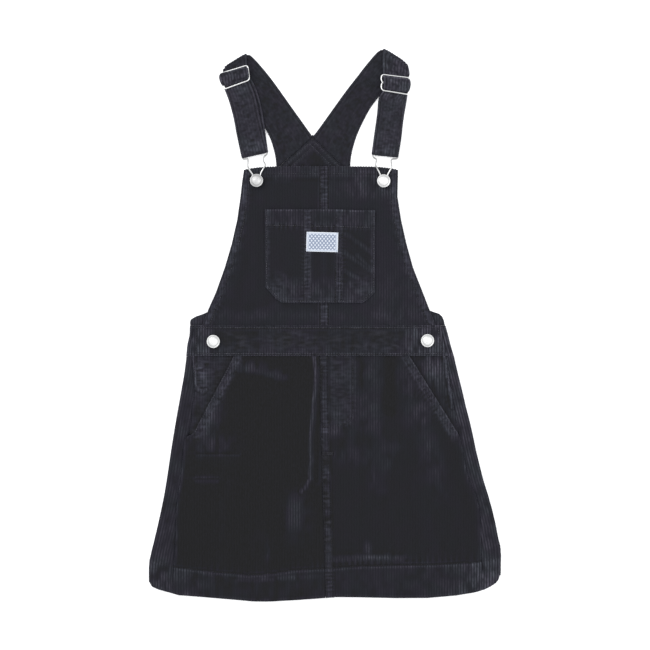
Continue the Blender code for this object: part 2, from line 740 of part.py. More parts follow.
def even_round(points, count):
    """A closed smooth curve (Catmull-Rom) through the points, read at even steps along its length."""
    knots = np.array(points)
    before, after = np.roll(knots, 1, axis=0), np.roll(knots, -1, axis=0)
    last = np.roll(knots, -2, axis=0)
    t = np.linspace(0.0, 1.0, 12, endpoint=False)[None, :, None]
    fine = 0.5 * (
        2 * knots[:, None]
        + (after - before)[:, None] * t
        + (2 * before - 5 * knots + 4 * after - last)[:, None] * t**2
        + (3 * knots - before - 3 * after + last)[:, None] * t**3
    )
    fine = fine.reshape(-1, 3)
    steps = np.linalg.norm(np.roll(fine, -1, axis=0) - fine, axis=1)
    length = np.concatenate([[0.0], np.cumsum(steps)])
    closed = np.concatenate([fine, fine[:1]])
    wanted = np.linspace(0.0, length[-1], count, endpoint=False)
    return np.stack([np.interp(wanted, length, closed[:, k]) for k in range(3)], axis=1)


def hook(side, finish, parts):
    path = [(p.x, p.y, p.z) for p in HOOKS[side]]
    return wire("hook_" + side, even_round(path, HOOK_POINTS), finish, parts)


def slider(side, finish, parts, cutters):
    """A wire frame whose short sides are pinched at the middle bar, joined with that bar."""
    form = SLIDERS[side]
    high, low = form.top_z, form.bottom_z
    corners = [
        Vector((*form.top_left, high)),
        Vector((*form.top_right, high)),
        Vector((*form.bottom_right, low)),
        Vector((*form.bottom_left, low)),
    ]
    middle = sum(corners, Vector()) / 4
    path = []
    for k, corner in enumerate(corners):
        to_last = (corners[k - 1] - corner).normalized() * SLIDER_CORNER
        to_next = (corners[(k + 1) % 4] - corner).normalized() * SLIDER_CORNER
        path += [corner + to_last, corner + (to_last + to_next) * 0.3, corner + to_next]
        if k in (1, 3):
            half = (corner + corners[(k + 1) % 4]) / 2
            inward = (middle - half).normalized() * SLIDER_PINCH
            path += [half.lerp(corner, 0.3), half + inward, half.lerp(corners[(k + 1) % 4], 0.3)]
    frame = wire("frame_curve_" + side, path, None, parts)
    mesh = bpy.data.meshes.new_from_object(frame.evaluated_get(bpy.context.evaluated_depsgraph_get()))
    bpy.data.objects.remove(frame)
    mesh.name = "slider_" + side
    made = add_object("slider_" + side, mesh, finish, parts)

    start = (corners[0] + corners[3]) / 2
    end = (corners[1] + corners[2]) / 2
    inset = (end - start).normalized() * SLIDER_PINCH
    start, end = start + inset, end - inset
    bar_mesh = bpy.data.meshes.new("middle_bar_" + side)
    bar = bmesh.new()
    bmesh.ops.create_cone(
        bar,
        cap_ends=True,
        segments=8,
        radius1=WIRE_RADIUS * 0.9 * MM,
        radius2=WIRE_RADIUS * 0.9 * MM,
        depth=(end - start).length * MM,
    )
    bar.to_mesh(bar_mesh)
    bar.free()
    cutter = add_object("middle_bar_" + side, bar_mesh, None, cutters)
    cutter.location = (start + end) / 2 * MM
    cutter.rotation_euler = (end - start).to_track_quat("Z", "Y").to_euler()
    cutter.hide_render = True
    cutter.display_type = "WIRE"
    join = made.modifiers.new("middle bar", "BOOLEAN")
    join.operation = "UNION"
    join.object = cutter
    return made


def button(name, finish, parts):
    """A turned button: a shank on the cloth, and a domed head with a raised rim and an inner ring."""
    spec = BUTTONS[name]
    on_bib = spec.y > 0
    ground = bib_height(spec.x, spec.y) if on_bib else band_height(spec.x, spec.y)
    under = spec.shank
    # Radius and height of the profile, from the top of the dome down to the foot of the shank.
    outline = [
        (0.0, under + 2.0),
        (3.2, under + 1.9),
        (5.2, under + 1.6),
        (6.4, under + 1.3),
        (7.0, under + 1.75),
        (7.9, under + 1.7),
        (BUTTON_RADIUS, under + 1.1),
        (BUTTON_RADIUS - 0.1, under + 0.3),
        (7.6, under),
        (SHANK_RADIUS, under),
        (SHANK_RADIUS, GAP),
        (0.0, GAP),
    ]
    mesh = bpy.data.meshes.new(name)
    profile = bmesh.new()
    verts = [profile.verts.new((r * MM, 0.0, z * MM)) for r, z in outline]
    for one, two in zip(verts, verts[1:]):
        profile.edges.new((one, two))
    profile.to_mesh(mesh)
    profile.free()
    made = add_object(name, mesh, finish, parts)
    made.location = (spec.x * MM, spec.y * MM, ground * MM)
    spin = made.modifiers.new("turned", "SCREW")
    spin.steps = 20
    spin.render_steps = 20
    spin.use_merge_vertices = True
    spin.merge_threshold = 0.00001
    return made


def build():
    clear_scene()
    parts = collection("dungaree_dress")
    cutters = collection("cutters", hidden=True)
    corduroy = material("corduroy", (0.020, 0.019, 0.027), 0.9)
    woven = material("label", (0.55, 0.62, 0.72), 0.7)
    steel = material("steel", (0.62, 0.62, 0.63), 0.3, 1.0)

    skirt_back(corduroy, parts)
    waistband_back(corduroy, parts)
    back_bib(corduroy, parts)
    for side in ("left", "right"):
        pocket_facing(side, corduroy, parts)
        skirt_front(side, corduroy, parts)
        bib_half(side, corduroy, parts)
    waistband_front(corduroy, parts)
    for which in ("left", "middle", "right"):
        bib_pocket(which, corduroy, parts)
    label(woven, parts)

    left_slider = (LEFT_SLIDER_ENTRY, LEFT_SLIDER_BAR, LEFT_SLIDER_EXIT)
    right_slider = (RIGHT_SLIDER_ENTRY, RIGHT_SLIDER_BAR, RIGHT_SLIDER_EXIT)
    strap(
        "strap_left", LEFT_BACK, LEFT_SHOULDER, left_slider, LEFT_FRONT, LEFT_LOOP, LEFT_RETURN, corduroy, parts
    )
    strap(
        "strap_right",
        RIGHT_BACK,
        RIGHT_SHOULDER,
        right_slider,
        RIGHT_FRONT,
        RIGHT_LOOP,
        RIGHT_RETURN,
        corduroy,
        parts,
    )
    for side in ("left", "right"):
        slider(side, steel, parts, cutters)
        hook(side, steel, parts)
    for name in BUTTONS:
        button(name, steel, parts)


build()
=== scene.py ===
# %% [markdown]
# # A child's corduroy dungaree dress, laid flat with its front up
#
# The dress is sewn from wide-wale corduroy: a cotton cloth whose pile stands in soft ribs about 3 mm apart. A
# bib and a back piece rise from a waistband, an A-line skirt hangs below it, and two straps come over the
# shoulders to hooks on the bib's buttons. Every cloth piece is worked out here as a surface: arrays of x, y
# and height for a whole panel at once. Sizes are in millimetres until a mesh is made.

# %% Load the fixed frame
import math
from collections import namedtuple
from functools import partial

import bpy
import numpy as np
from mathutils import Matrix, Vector


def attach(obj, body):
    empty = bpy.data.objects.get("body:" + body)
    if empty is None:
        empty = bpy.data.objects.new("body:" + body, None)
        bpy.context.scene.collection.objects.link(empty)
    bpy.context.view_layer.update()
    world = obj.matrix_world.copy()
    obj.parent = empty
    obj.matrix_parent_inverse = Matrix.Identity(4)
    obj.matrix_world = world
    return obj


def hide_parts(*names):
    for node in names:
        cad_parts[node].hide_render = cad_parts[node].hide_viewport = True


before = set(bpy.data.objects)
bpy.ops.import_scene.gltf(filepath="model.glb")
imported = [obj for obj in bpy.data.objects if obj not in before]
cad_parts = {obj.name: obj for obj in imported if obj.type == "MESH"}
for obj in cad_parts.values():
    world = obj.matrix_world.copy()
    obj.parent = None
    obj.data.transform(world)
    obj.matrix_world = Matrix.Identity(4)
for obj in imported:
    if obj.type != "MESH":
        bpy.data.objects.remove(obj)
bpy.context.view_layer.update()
MM = 0.001

# %% [markdown]
# ## Small tools for whole arrays
#
# A garment's relief is a sum of simple rises: a step where cloth is folded double, a soft ridge along a fold,
# a groove under a row of stitches. Each tool below takes arrays of any shape and gives an array of the same
# shape, so one line of code shapes a whole panel.

# %% Steps, ridges and tables
def smooth(t):
    """0 up to t = 0, 1 from t = 1, and an S between: t squared times (3 - 2t)."""
    t = np.clip(t, 0, 1)
    return t * t * (3 - 2 * t)


def rise(value, start, width):
    """0 up to a start, 1 from a width further on, and an S between."""
    return smooth((value - start) / width)


def fall(value, end, width):
    """1 up to a width before an end, 0 from the end on, and an S between."""
    return smooth((end - value) / width)


def bump(distance, width):
    """1 on a line, fading on both sides: e to the minus (distance / width) squared."""
    return np.exp(-((distance / width) ** 2))


def patch(x, y, middle_x, middle_y, wide, long):
    """1 at a middle, fading all round it: the bump of the distance measured in these two reaches."""
    return bump(np.hypot((x - middle_x) / wide, (y - middle_y) / long), 1)


def table(kind, rows):
    """A table whose rows have the columns of a named kind."""
    return [kind(*row) for row in rows]


def read(rows, value, name):
    """A table's column at any values of its first column, along straight lines between its rows."""
    return np.interp(value, [row[0] for row in rows], [getattr(row, name) for row in rows])


def highest(*values):
    """The highest of several arrays at each place."""
    return np.max(values, axis=0)


def in_order(*runs):
    """The numbers of several runs, rising, each once."""
    return np.unique(np.round(np.concatenate(runs), 4))


def distances(points):
    """How far along a run of points each one lies: the running sum of the steps between them."""
    return np.concatenate([[0], np.cumsum(np.linalg.norm(np.diff(points, axis=0), axis=1))])


def uneven(x, y, size, seed, stretch=1):
    """Soft unevenness from -1 to 1: seeded random heights on a lattice, blended with S curves in between."""
    lattice = np.random.default_rng(seed).uniform(-1, 1, (97, 97))
    u, v = x / size + 40, y / (size * stretch) + 40
    i, j = np.floor(u).astype(int), np.floor(v).astype(int)
    a, b = smooth(u - i), smooth(v - j)
    i, j = i % 96, j % 96
    low = lattice[i, j] * (1 - a) + lattice[i + 1, j] * a
    high = lattice[i, j + 1] * (1 - a) + lattice[i + 1, j + 1] * a
    return low * (1 - b) + high * b


def to_line(x, y, points):
    """Distance in plan from each point to a run of lines, and how far along it the nearest place lies."""
    best, along, start = np.full(np.shape(x), 1e6), np.zeros(np.shape(x)), 0
    for (x0, y0), (x1, y1) in zip(points, points[1:]):
        length = math.hypot(x1 - x0, y1 - y0)
        ux, uy = (x1 - x0) / length, (y1 - y0) / length
        t = np.clip((x - x0) * ux + (y - y0) * uy, 0, length)
        off = np.hypot(x - x0 - ux * t, y - y0 - uy * t)
        along = np.where(off < best, start + t, along)
        best = np.minimum(best, off)
        start += length
    return best, along


def near(x, y, points, width, off=0):
    """1 at a distance off from a run of lines, fading on both sides of it."""
    return bump(to_line(x, y, points)[0] - off, width)


def rounded(distance, radius):
    """How far a folded edge has dropped at a distance from it: a quarter circle of the given radius."""
    inside = radius - np.clip(distance, 0, radius)
    return radius - np.sqrt(np.maximum(radius**2 - inside**2, 0))


def full_turn(count):
    """A number of angles, even round a circle."""
    return np.arange(count) / count * 2 * np.pi


def band_of(distance, reach, fade):
    """1 up to a distance of reach on both sides of a line, less the fade, and 0 beyond it."""
    return smooth((reach - np.abs(distance)) / fade)


def rungs(x, y, pitch, seed):
    """Short even steps of painted highlight up a puckered seam, 0 to 1: a sine of the height whose phase
    drifts a little.
    """
    return smooth(0.5 + 0.9 * np.sin(2 * np.pi * y / pitch + 1.3 * uneven(x, y, 9, seed)))


def sided(side, outer, inner):
    """The outer and the inner one of two values, put in the order left, right."""
    return (outer, inner) if side == "left" else (inner, outer)


print("a folded edge of radius 1 has dropped", round(float(rounded(0.3, 1)), 2), "mm at 0.3 mm")

# %% [markdown]
# ## Corduroy ribs
#
# Corduroy's pile stands in ribs, called wales, with narrow grooves between them. They could be painted on as
# a bump, but real ribs catch light along folds and scallop a cut edge, so they are modelled. A panel's grid
# gets five columns to a wale, and the columns run along the wales, so no rib breaks up. A groove is where the
# sine of the distance across is zero. The wales also wander a little sideways, as woven ones do.

# %% Ribs
WALE = 3.25
STEP = WALE / 5
RIB_DEPTH = 0.55


def rib(across):
    """How far the cloth lies below its rib crests: the depth times (|sin| to the power 0.7, less 1)."""
    return RIB_DEPTH * (np.abs(np.sin(np.pi * across / WALE)) ** 0.7 - 1)


def wander(x, y):
    """How far a wale strays sideways at a place."""
    return 0.3 * uneven(x, y, 16, 5, 3)


def rib_grid(left, right, rows):
    """x and y of a panel: columns on the wales' lines, each held between the panel's left and right side."""
    first, last = math.floor(left.min() / STEP) - 2, math.ceil(right.max() / STEP) + 3
    x, y = np.meshgrid(np.arange(first, last) * STEP, rows)
    return np.clip(x + wander(x, y), left[:, None], right[:, None]), y


def spread(low, high, spacing):
    """Heights for a panel's rows: even ones, and closer ones near both ends, where the cloth is folded."""
    even = np.linspace(low, high, max(int(round((high - low) / spacing)), 2) + 1)
    close = np.array([0.25, 0.7, 1.4, 2.6])
    inner = even[(even > low + close[-1] + 0.5) & (even < high - close[-1] - 0.5)]
    return in_order([low], low + close, inner, high - close, [high])


def finer(rows, *lines):
    """The rows with five closer ones round each given line, so that a stitch line on them stays thin."""
    close = [line + np.array([-1.4, -0.7, 0, 0.7, 1.4]) for line in lines]
    every = np.sort(np.concatenate([rows, *close]))
    every = every[(every >= rows[0]) & (every <= rows[-1])]
    return every[np.concatenate([[True], np.diff(every) > 0.15])]


print("wales across 100 mm:", round(100 / WALE, 1))

# %% [markdown]
# ## From arrays to a cloth mesh
#
# A cloth panel is a closed wall: an outer grid with ribs, an inner grid without them, and a strip round the
# edge. Where columns are held at a panel's side they share a place, so those points are made one and the
# cells that shrink to nothing are dropped. The height of the pile at each point goes along as an attribute,
# which the material reads to keep its painted sheen on the rib crests, so the grooves stay dark.

# %% Meshes from arrays
def put_mesh(name, points, faces, finish, **values):
    """A mesh object from points in millimetres and triangles, with one number a point for each value."""
    mesh = bpy.data.meshes.new(name)
    mesh.vertices.add(len(points))
    mesh.vertices.foreach_set("co", np.ascontiguousarray(points * MM, np.float32).ravel())
    mesh.loops.add(faces.size)
    mesh.loops.foreach_set("vertex_index", np.ascontiguousarray(faces, np.int32).ravel())
    mesh.polygons.add(len(faces))
    mesh.polygons.foreach_set("loop_start", np.arange(0, faces.size, 3, dtype=np.int32))
    mesh.polygons.foreach_set("use_smooth", np.ones(len(faces), bool))
    for key, numbers in values.items():
        layer = mesh.attributes.new(key, "FLOAT", "POINT")
        layer.data.foreach_set("value", np.ascontiguousarray(numbers, np.float32).ravel())
    mesh.update(calc_edges=True)
    mesh.validate()
    mesh.materials.append(finish)
    made = bpy.data.objects.new(name, mesh)
    bpy.context.scene.collection.objects.link(made)
    return made


def dress_up(made, slot, *nodes):
    """Rides on the dress's one body and stands for the named solids, which it hides. Its slot is not used."""
    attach(made, "root")
    if nodes:
        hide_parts(*nodes)


def cloth(name, outer, inner, finish, pile, nap_and_sheen, ladder=0):
    """A closed wall between two grids of the same shape, (rows, columns, 3) in millimetres.

    Each cell is two triangles outside and two, turned round, inside. An edge with a face on one side only
    gets a strip that joins the two sides.
    """
    rows, columns = outer.shape[:2]
    index = np.arange(rows * columns).reshape(rows, columns)
    places = np.round(outer.reshape(-1, 3), 4)
    _, first, same = np.unique(places, axis=0, return_index=True, return_inverse=True)
    a, b, c, d = index[:-1, :-1], index[:-1, 1:], index[1:, 1:], index[1:, :-1]
    top = np.concatenate([np.stack([a, b, c], -1).reshape(-1, 3), np.stack([a, c, d], -1).reshape(-1, 3)])
    top = same.reshape(-1)[top]
    top = top[(top[:, 0] != top[:, 1]) & (top[:, 1] != top[:, 2]) & (top[:, 2] != top[:, 0])]
    count = len(first)
    one, two = top.ravel(), np.roll(top, -1, axis=1).ravel()
    alone = ~np.isin(one * count + two, two * count + one)
    one, two = one[alone], two[alone]
    strips = [two, one, one + count], [two, one + count, two + count]
    rim = np.concatenate([np.stack(strip, -1) for strip in strips])
    faces = np.concatenate([top, top[:, ::-1] + count, rim])
    points = np.concatenate([outer.reshape(-1, 3)[first], inner.reshape(-1, 3)[first]])
    kept = {
        key: np.tile(np.broadcast_to(v, (rows, columns)).reshape(-1)[first], 2)
        for key, v in (("pile", pile), ("nap_and_sheen", nap_and_sheen), ("ladder", ladder))
    }
    made = put_mesh(name, points, faces, finish, **kept)
    print(name, len(faces), "triangles")
    return made

# %% [markdown]
# ## Finishes
#
# Corduroy pile is a velvet: seen from above it swallows light, and where it slopes away its standing threads
# glow. The shader's sheen does that. The nap attribute paints more sheen and highlights into the colour, on
# the
# ribs but not in their grooves: where the cloth bends or slopes, and where pile is brushed or pressed. The
# ladder attribute paints pale highlights on puckers. Fine noise breaks up the pile, and a little of it goes
# into the bump.

# %% Corduroy and thread
def material(name, **sockets):
    """A new material whose shader has these plain values set on its own sockets."""
    made = bpy.data.materials.new(name)
    made.use_nodes = True
    shader = made.node_tree.nodes["Principled BSDF"]
    for socket, value in sockets.items():
        shader.inputs[socket.replace("_", " ")].default_value = value
    return made, made.node_tree, shader


def node(tree, kind, **settings):
    """A node of this kind, with its settings and its unconnected inputs set by name."""
    made = tree.nodes.new("ShaderNode" + kind)
    for key, value in settings.items():
        if hasattr(made, key):
            setattr(made, key, value)
        else:
            made.inputs[key.replace("_", " ")].default_value = value
    return made


def attribute(tree, name):
    """The number that a mesh carries at each point under this name."""
    return node(tree, "Attribute", attribute_name=name).outputs["Fac"]


def noise(tree, scale, detail=3, stretch=(1, 1, 1)):
    """Noise on Object coordinates, with its grain stretched along an axis."""
    place, turn = node(tree, "TexCoord"), node(tree, "Mapping", Scale=stretch)
    grain = node(tree, "TexNoise", Scale=scale, Detail=detail)
    tree.links.new(place.outputs["Object"], turn.inputs["Vector"])
    tree.links.new(turn.outputs["Vector"], grain.inputs["Vector"])
    return grain.outputs["Fac"]


def mixed(tree, share, dark, light):
    """A colour between two, by a share that a socket gives."""
    mix = node(tree, "Mix", data_type="RGBA")
    tree.links.new(share, mix.inputs["Factor"])
    for socket, colour in ((mix.inputs[6], dark), (mix.inputs[7], light)):
        if isinstance(colour, tuple):
            socket.default_value = (*colour, 1)
        else:
            tree.links.new(colour, socket)
    return mix.outputs[2]


def joined(tree, operation, one, two=0):
    """Two values put together by one sum."""
    made = node(tree, "Math", operation=operation)
    for socket, value in zip(made.inputs, (one, two)):
        if isinstance(value, (int, float)):
            socket.default_value = value
        else:
            tree.links.new(value, socket)
    return made.outputs[0]


def times(tree, first, *others):
    """The product of several values."""
    for other in others:
        first = joined(tree, "MULTIPLY", first, other)
    return first


def ramp(tree, value, low, high):
    """A value carried from the range low..high to 0..1."""
    made = node(tree, "MapRange", From_Min=low, From_Max=high)
    tree.links.new(value, made.inputs["Value"])
    return made.outputs["Result"]


def bumped(tree, shader, height, distance, strength):
    """Bends the shader's normals as a relief of this height and this depth in metres would."""
    made = node(tree, "Bump", Strength=strength, Distance=distance)
    tree.links.new(height, made.inputs["Height"])
    tree.links.new(made.outputs["Normal"], shader.inputs["Normal"])


corduroy, tree, shader = material(
    "navy corduroy",
    Roughness=0.9,
    Specular_IOR_Level=0.09,
    Sheen_Weight=0.22,
    Sheen_Roughness=0.45,
    Sheen_Tint=(0.70, 0.68, 0.88, 1),
)
pile, nap_and_sheen, ladder = (attribute(tree, name) for name in ("pile", "nap_and_sheen", "ladder"))
grain = noise(tree, 520, 4, (1, 0.5, 1))
hue = ramp(tree, noise(tree, 38, 2), 0.42, 0.58)
cloth_colour = mixed(tree, ramp(tree, grain, 0.4, 0.8), (0.0101, 0.0101, 0.0101), (0.0126, 0.0126, 0.0148))
tinted = mixed(tree, hue, (0.0126, 0.0119, 0.0164), (0.0117, 0.0123, 0.0154))
cloth_colour = mixed(tree, ramp(tree, nap_and_sheen, 0, 0.07), cloth_colour, tinted)
# Painted sheen: where the nap attribute is high, the rib crests take a lighter violet colour.
lit_colour = mixed(tree, hue, (0.0726, 0.0681, 0.0890), (0.0652, 0.0704, 0.0860))
lit_nap = ramp(tree, nap_and_sheen, 0.05, 1)
lit_pile = times(tree, lit_nap, ramp(tree, pile, 0.30, 0.95), ramp(tree, grain, 0.15, 0.6))
cloth_colour = mixed(tree, lit_pile, cloth_colour, lit_colour)
# Painted highlights: the ladder attribute puts pale steps where puckered cloth catches the light.
steps = times(tree, ladder, ramp(tree, noise(tree, 300, 2, (0.35, 1, 1)), 0.40, 0.68))
cloth_colour = mixed(tree, steps, cloth_colour, (0.054, 0.055, 0.074))
tree.links.new(cloth_colour, shader.inputs["Base Color"])
bumped(tree, shader, grain, 0.0003, 0.5)

thread, tree, shader = material("navy thread", Roughness=0.7, Specular_IOR_Level=0.15)
shine_here = times(tree, attribute(tree, "shine"), ramp(tree, noise(tree, 260), 0.25, 0.65))
thread_colour = mixed(tree, shine_here, (0.0104, 0.0104, 0.0126), (0.0926, 0.0904, 0.1110))
tree.links.new(thread_colour, shader.inputs["Base Color"])
print("cloth and thread:", corduroy.name, "and", thread.name)

# %% [markdown]
# ## The outline of the dress
#
# These short tables are the pattern: where each edge and seam lies, in millimetres from the middle. They
# repeat the solids' own sizes, so every surface fills the place that its solid holds.

# %% Outline tables
SkirtRow = namedtuple("SkirtRow", "y left_edge left_seam right_seam right_edge")
SKIRT = table(SkirtRow, (
    (-331, -214.6, -185.5, 191, 214.4), (-311, -214.6, -185, 191, 214.6),
    (-298.8, -213.9, -184.5, 191, 214.8), (-280.5, -211.2, -183.5, 190.7, 214),
    (-262.2, -207.6, -182.5, 190.4, 211.3), (-243.9, -203.6, -182, 190, 208.4),
    (-225.6, -199.6, -181.5, 188.8, 204.1), (-207.3, -195.8, -179.5, 184.5, 199),
    (-189, -192.8, -176.3, 176, 193.1), (-170.7, -190.1, -174.3, 171.5, 188.6),
    (-152.4, -187.4, -173, 168.7, 184.1), (-140, -185.4, -172, 165.6, 181.6),
    (-133, -184.3, -166, 164, 180.2), (-115.8, -181.4, -162.5, 159.7, 176.2),
    (-97.5, -178.1, -161.5, 157, 171.4), (-79.2, -174.8, -158.5, 154.6, 167.3),
    (-60.9, -171.5, -160.5, 151.7, 162.6), (-42.6, -169.1, -161.5, 148.8, 158.4),
    (-37.8, -168.6, -161.6, 148, 157.4),
))
HemRow = namedtuple("HemRow", "x y")
HEM = table(HemRow, (
    (-214.6, -313), (-211, -318.3), (-202.5, -322), (-190, -325.7), (-178, -329), (-149, -331.2),
    (-116, -334), (-88, -336.4), (-65, -336.4), (-37, -335), (-9, -333), (14, -331.2), (43, -331.5),
    (87, -332.5), (125, -332.3), (160, -329.3), (182, -325.7), (195, -322), (202, -318.3), (207.5, -314.7),
    (211.2, -311), (213.6, -305),
))
HEM_STITCH = table(HemRow, (
    (-212, -287), (-180, -296), (-144, -300), (-93, -305), (-65, -303), (-39, -299), (-2, -297), (42, -294),
    (83, -293), (134, -292), (181, -290), (211, -285),
))
SeamPoint = namedtuple("SeamPoint", "y x")
SKIRT_CENTRE = table(SeamPoint, ((-331, 1), (-200, -3), (-37.8, -7)))
Mouth = namedtuple("Mouth", "top_x top_y end_x end_y")
MOUTHS = {"left": Mouth(-115, -45, -161, -133), "right": Mouth(108, -45, 163, -133)}
BandEnd = namedtuple("BandEnd", "y front_left front_right back_left back_right")
BAND_ENDS = table(BandEnd, (
    (-37.5, -162, 148, -169.3, 157.4), (-24, -161.7, 145.6, -168.1, 153.4),
    (-12, -160.9, 143.5, -165.3, 150.4), (-0.5, -160.2, 141.5, -164.9, 147.2),
))
BibRow = namedtuple("BibRow", "y left_edge right_edge")
BIB = table(BibRow, (
    (-0.2, -149.5, 135), (20, -142, 127.2), (40, -133, 119.5), (70, -122.3, 107.6), (99, -113.8, 99.6),
    (128, -107.2, 93.1), (157, -103.1, 88.6), (175, -101.2, 89), (190, -98.8, 89.2),
))
BACK_BIB = table(BibRow, (
    (-0.2, -164.6, 146.8), (5, -165.2, 145.6), (9, -162.6, 144.5), (13, -150, 141.5), (15.6, -144.8, 136.5),
    (18, -139, 127), (30, -124, 116), (55, -110, 98), (90, -90, 75), (130, -73, 50), (165, -63, 35),
    (190.5, -58.3, 29.8),
))
PocketRow = namedtuple("PocketRow", "y left_edge left_seam right_seam right_edge")
BIB_POCKET = table(PocketRow, (
    (27, -52, -21.5, 15, 46), (32, -60, -21.5, 15.5, 53.5), (40, -66.5, -21.3, 16, 61),
    (46.5, -72.6, -21.2, 16.3, 61), (70, -72.8, -21, 17, 61), (95, -73, -21, 17.5, 61.2),
    (121, -73, -21, 17.6, 61.3), (139, -73, -21, 17.6, 61.3),
))
CLOTH, BAND_WALL, GAP = 1.6, 2.6, 0.3
SKIRT_TOP, POCKET_END, HEM_NOMINAL = -37.8, -133, -331
BIB_MIDDLE, BIB_TOP = -0.95, 193.7
BACK_TOP = 190.5
FRONT_LEVEL, BAND_LEVEL = 4.1, 5.8
SIDES = ("left", "right")
INWARD = {"left": 1, "right": -1}
print("width at the hem:", SKIRT[0].right_edge - SKIRT[0].left_edge, "mm")

# %% [markdown]
# ## Folds, grooves and puckers
#
# A fold is a ridge that fades sideways; only the highest ridge and the deepest trough count at a point, so
# crossing folds don't pile up. Rows of stitches pull the cloth down. Small ripples, the puckers, cross the
# stitched seams. Where the cloth bends over a crest, sheen is painted lighter into its colour, so the bend of
# a height rule is measured too.

# %% Folds, grooves and puckers
Fold = namedtuple("Fold", "x0 y0 x1 y1 height width")


def beside(points, offset):
    """The same run of lines moved sideways: to the left of its direction where the offset is positive."""
    p = np.array(points, float)
    way = np.gradient(p, axis=0)
    way /= np.linalg.norm(way, axis=1)[:, None]
    return [tuple(q) for q in p + np.stack([-way[:, 1], way[:, 0]], 1) * offset]


def folds(ridges, x, y):
    """The highest ridge and the deepest trough that reach each point, with crests sharper than their feet."""
    ridge, trough = np.zeros(np.shape(x)), np.zeros(np.shape(x))
    for f in ridges:
        off, _ = to_line(x, y, [(f.x0, f.y0), (f.x1, f.y1)])
        sharp = 0.25 if f.height > 2.6 else 0
        crest = sharp * np.exp(-np.sqrt(off**2 + 0.2) / (0.22 * f.width))
        lifted = f.height * ((1 - sharp) * bump(off, f.width) + crest)
        ridge, trough = np.maximum(ridge, lifted), np.minimum(trough, lifted)
    return ridge + trough


def stitched(x, y, lines, depth=0.5, width=0.9):
    """A groove under each run of stitches."""
    return -depth * highest(*(near(x, y, line, width) for line in lines))


def puckers(x, y, line, period, reach, height):
    """Ripples across a seam: a sine of the distance along it, uneven in step and size, fading sideways."""
    off, along = to_line(x, y, line)
    drift = 1.1 * uneven(along, off, period * 2.2, 11)
    size = 0.65 + 0.35 * uneven(along, 0, period * 1.7, 12)
    return height * size * np.sin(2 * np.pi * along / period + 2.5 * drift) * np.exp(-((off / reach) ** 2))


def crest_bend(height, x, y):
    """How much a crest bends, for painted sheen: the height less the mean height a short way off on four
    sides.
    """
    reach = 2.2
    around_it = height(x + reach, y) + height(x - reach, y) + height(x, y + reach) + height(x, y - reach)
    return height(x, y) - around_it / 4


beside_fold = folds([Fold(0, 0, 0, 50, 2, 5)], np.float64(5), np.float64(9))
print("beside a fold 2 mm high, 5 mm off:", np.round(beside_fold, 2))

# %% [markdown]
# ## The relief of the skirt's front
#
# The front lies almost flat. One sharp fold runs beside the centre seam, softer ones fan out to its right,
# and the hem bulges a little. The seam allowances folded under the cloth lift it beside its seams.

# %% The skirt's relief
RIDGE = [
    (-13.2, -39), (-11.2, -60), (-12.5, -80), (-14, -94), (-16, -117), (-17.6, -134),
    (-18.2, -152), (-16.8, -165), (-18.8, -176), (-18.4, -187), (-23, -197), (-29, -203.5),
]
SKIRT_FOLDS = table(Fold, (
    *((*start, *end, 2.8, 5) for start, end in zip(RIDGE, RIDGE[1:])),
    (-28, -204, -40, -245, 1.6, 9), (34, -50, 32, -150, 1.6, 8), (58, -46, 62, -110, 1.8, 9),
    (62, -110, 70, -200, 1.4, 10), (-34, -208, -40, -256, 1.6, 13), (-80, -262, -74, -334, 1.8, 18),
    (4, -286.5, 92, -286, 1.9, 5), (118, -190, 132, -285, 1, 14), (-120, -170, -128, -290, 0.8, 14),
    (-112, -49, -50, -64, 1.1, 5), (81, -40, 79, -104, -0.8, 10), (-3.5, -50, -8.5, -124, -1, 2.6),
    (-8.5, -124, -11, -190, -1, 3),
))
FLY = [(34, -38), (34, -58), (34, -110), (30.5, -117), (24, -121), (14, -123), (-6, -124)]


def centre_x(y):
    """Where the centre seam lies at a height."""
    return read(SKIRT_CENTRE, y, "x")


def mouth_x(side, y):
    """Where a pocket mouth lies at a height: along the straight line between its two ends."""
    m = MOUTHS[side]
    return m.end_x + (y - m.end_y) * (m.top_x - m.end_x) / (m.top_y - m.end_y)


CENTRE_LINE = [(float(centre_x(y)), y) for y in (-37.8, -100, -160, -200, -265, -336)]
MOUTH_LINES = {
    side: [(float(mouth_x(side, SKIRT_TOP)), SKIRT_TOP), (m.end_x, m.end_y)] for side, m in MOUTHS.items()
}
SKIRT_SEAMS = {
    "hem": [tuple(p) for p in HEM_STITCH],
    "centre_near": [(x + 1.6, y) for x, y in CENTRE_LINE],
    "centre_far": [(x + 9, y) for x, y in CENTRE_LINE],
    "fly": FLY,
    "tack": [(-4, -157), (10, -157)],
    "mouth_left": beside(MOUTH_LINES["left"], 1.2),
    "mouth_left_far": beside(MOUTH_LINES["left"], 6.8),
    "mouth_right": beside(MOUTH_LINES["right"], -1.2),
    "mouth_right_far": beside(MOUTH_LINES["right"], -6.8),
    "bag_left": [(-157, -157), (-105, -157)],
    "bag_left_low": [(-158, -188), (-130, -188)],
}


def to_side_seam(x, y):
    """How far a place lies inside the nearer side seam of the skirt."""
    return np.minimum(x - read(SKIRT, y, "left_seam"), read(SKIRT, y, "right_seam") - x)


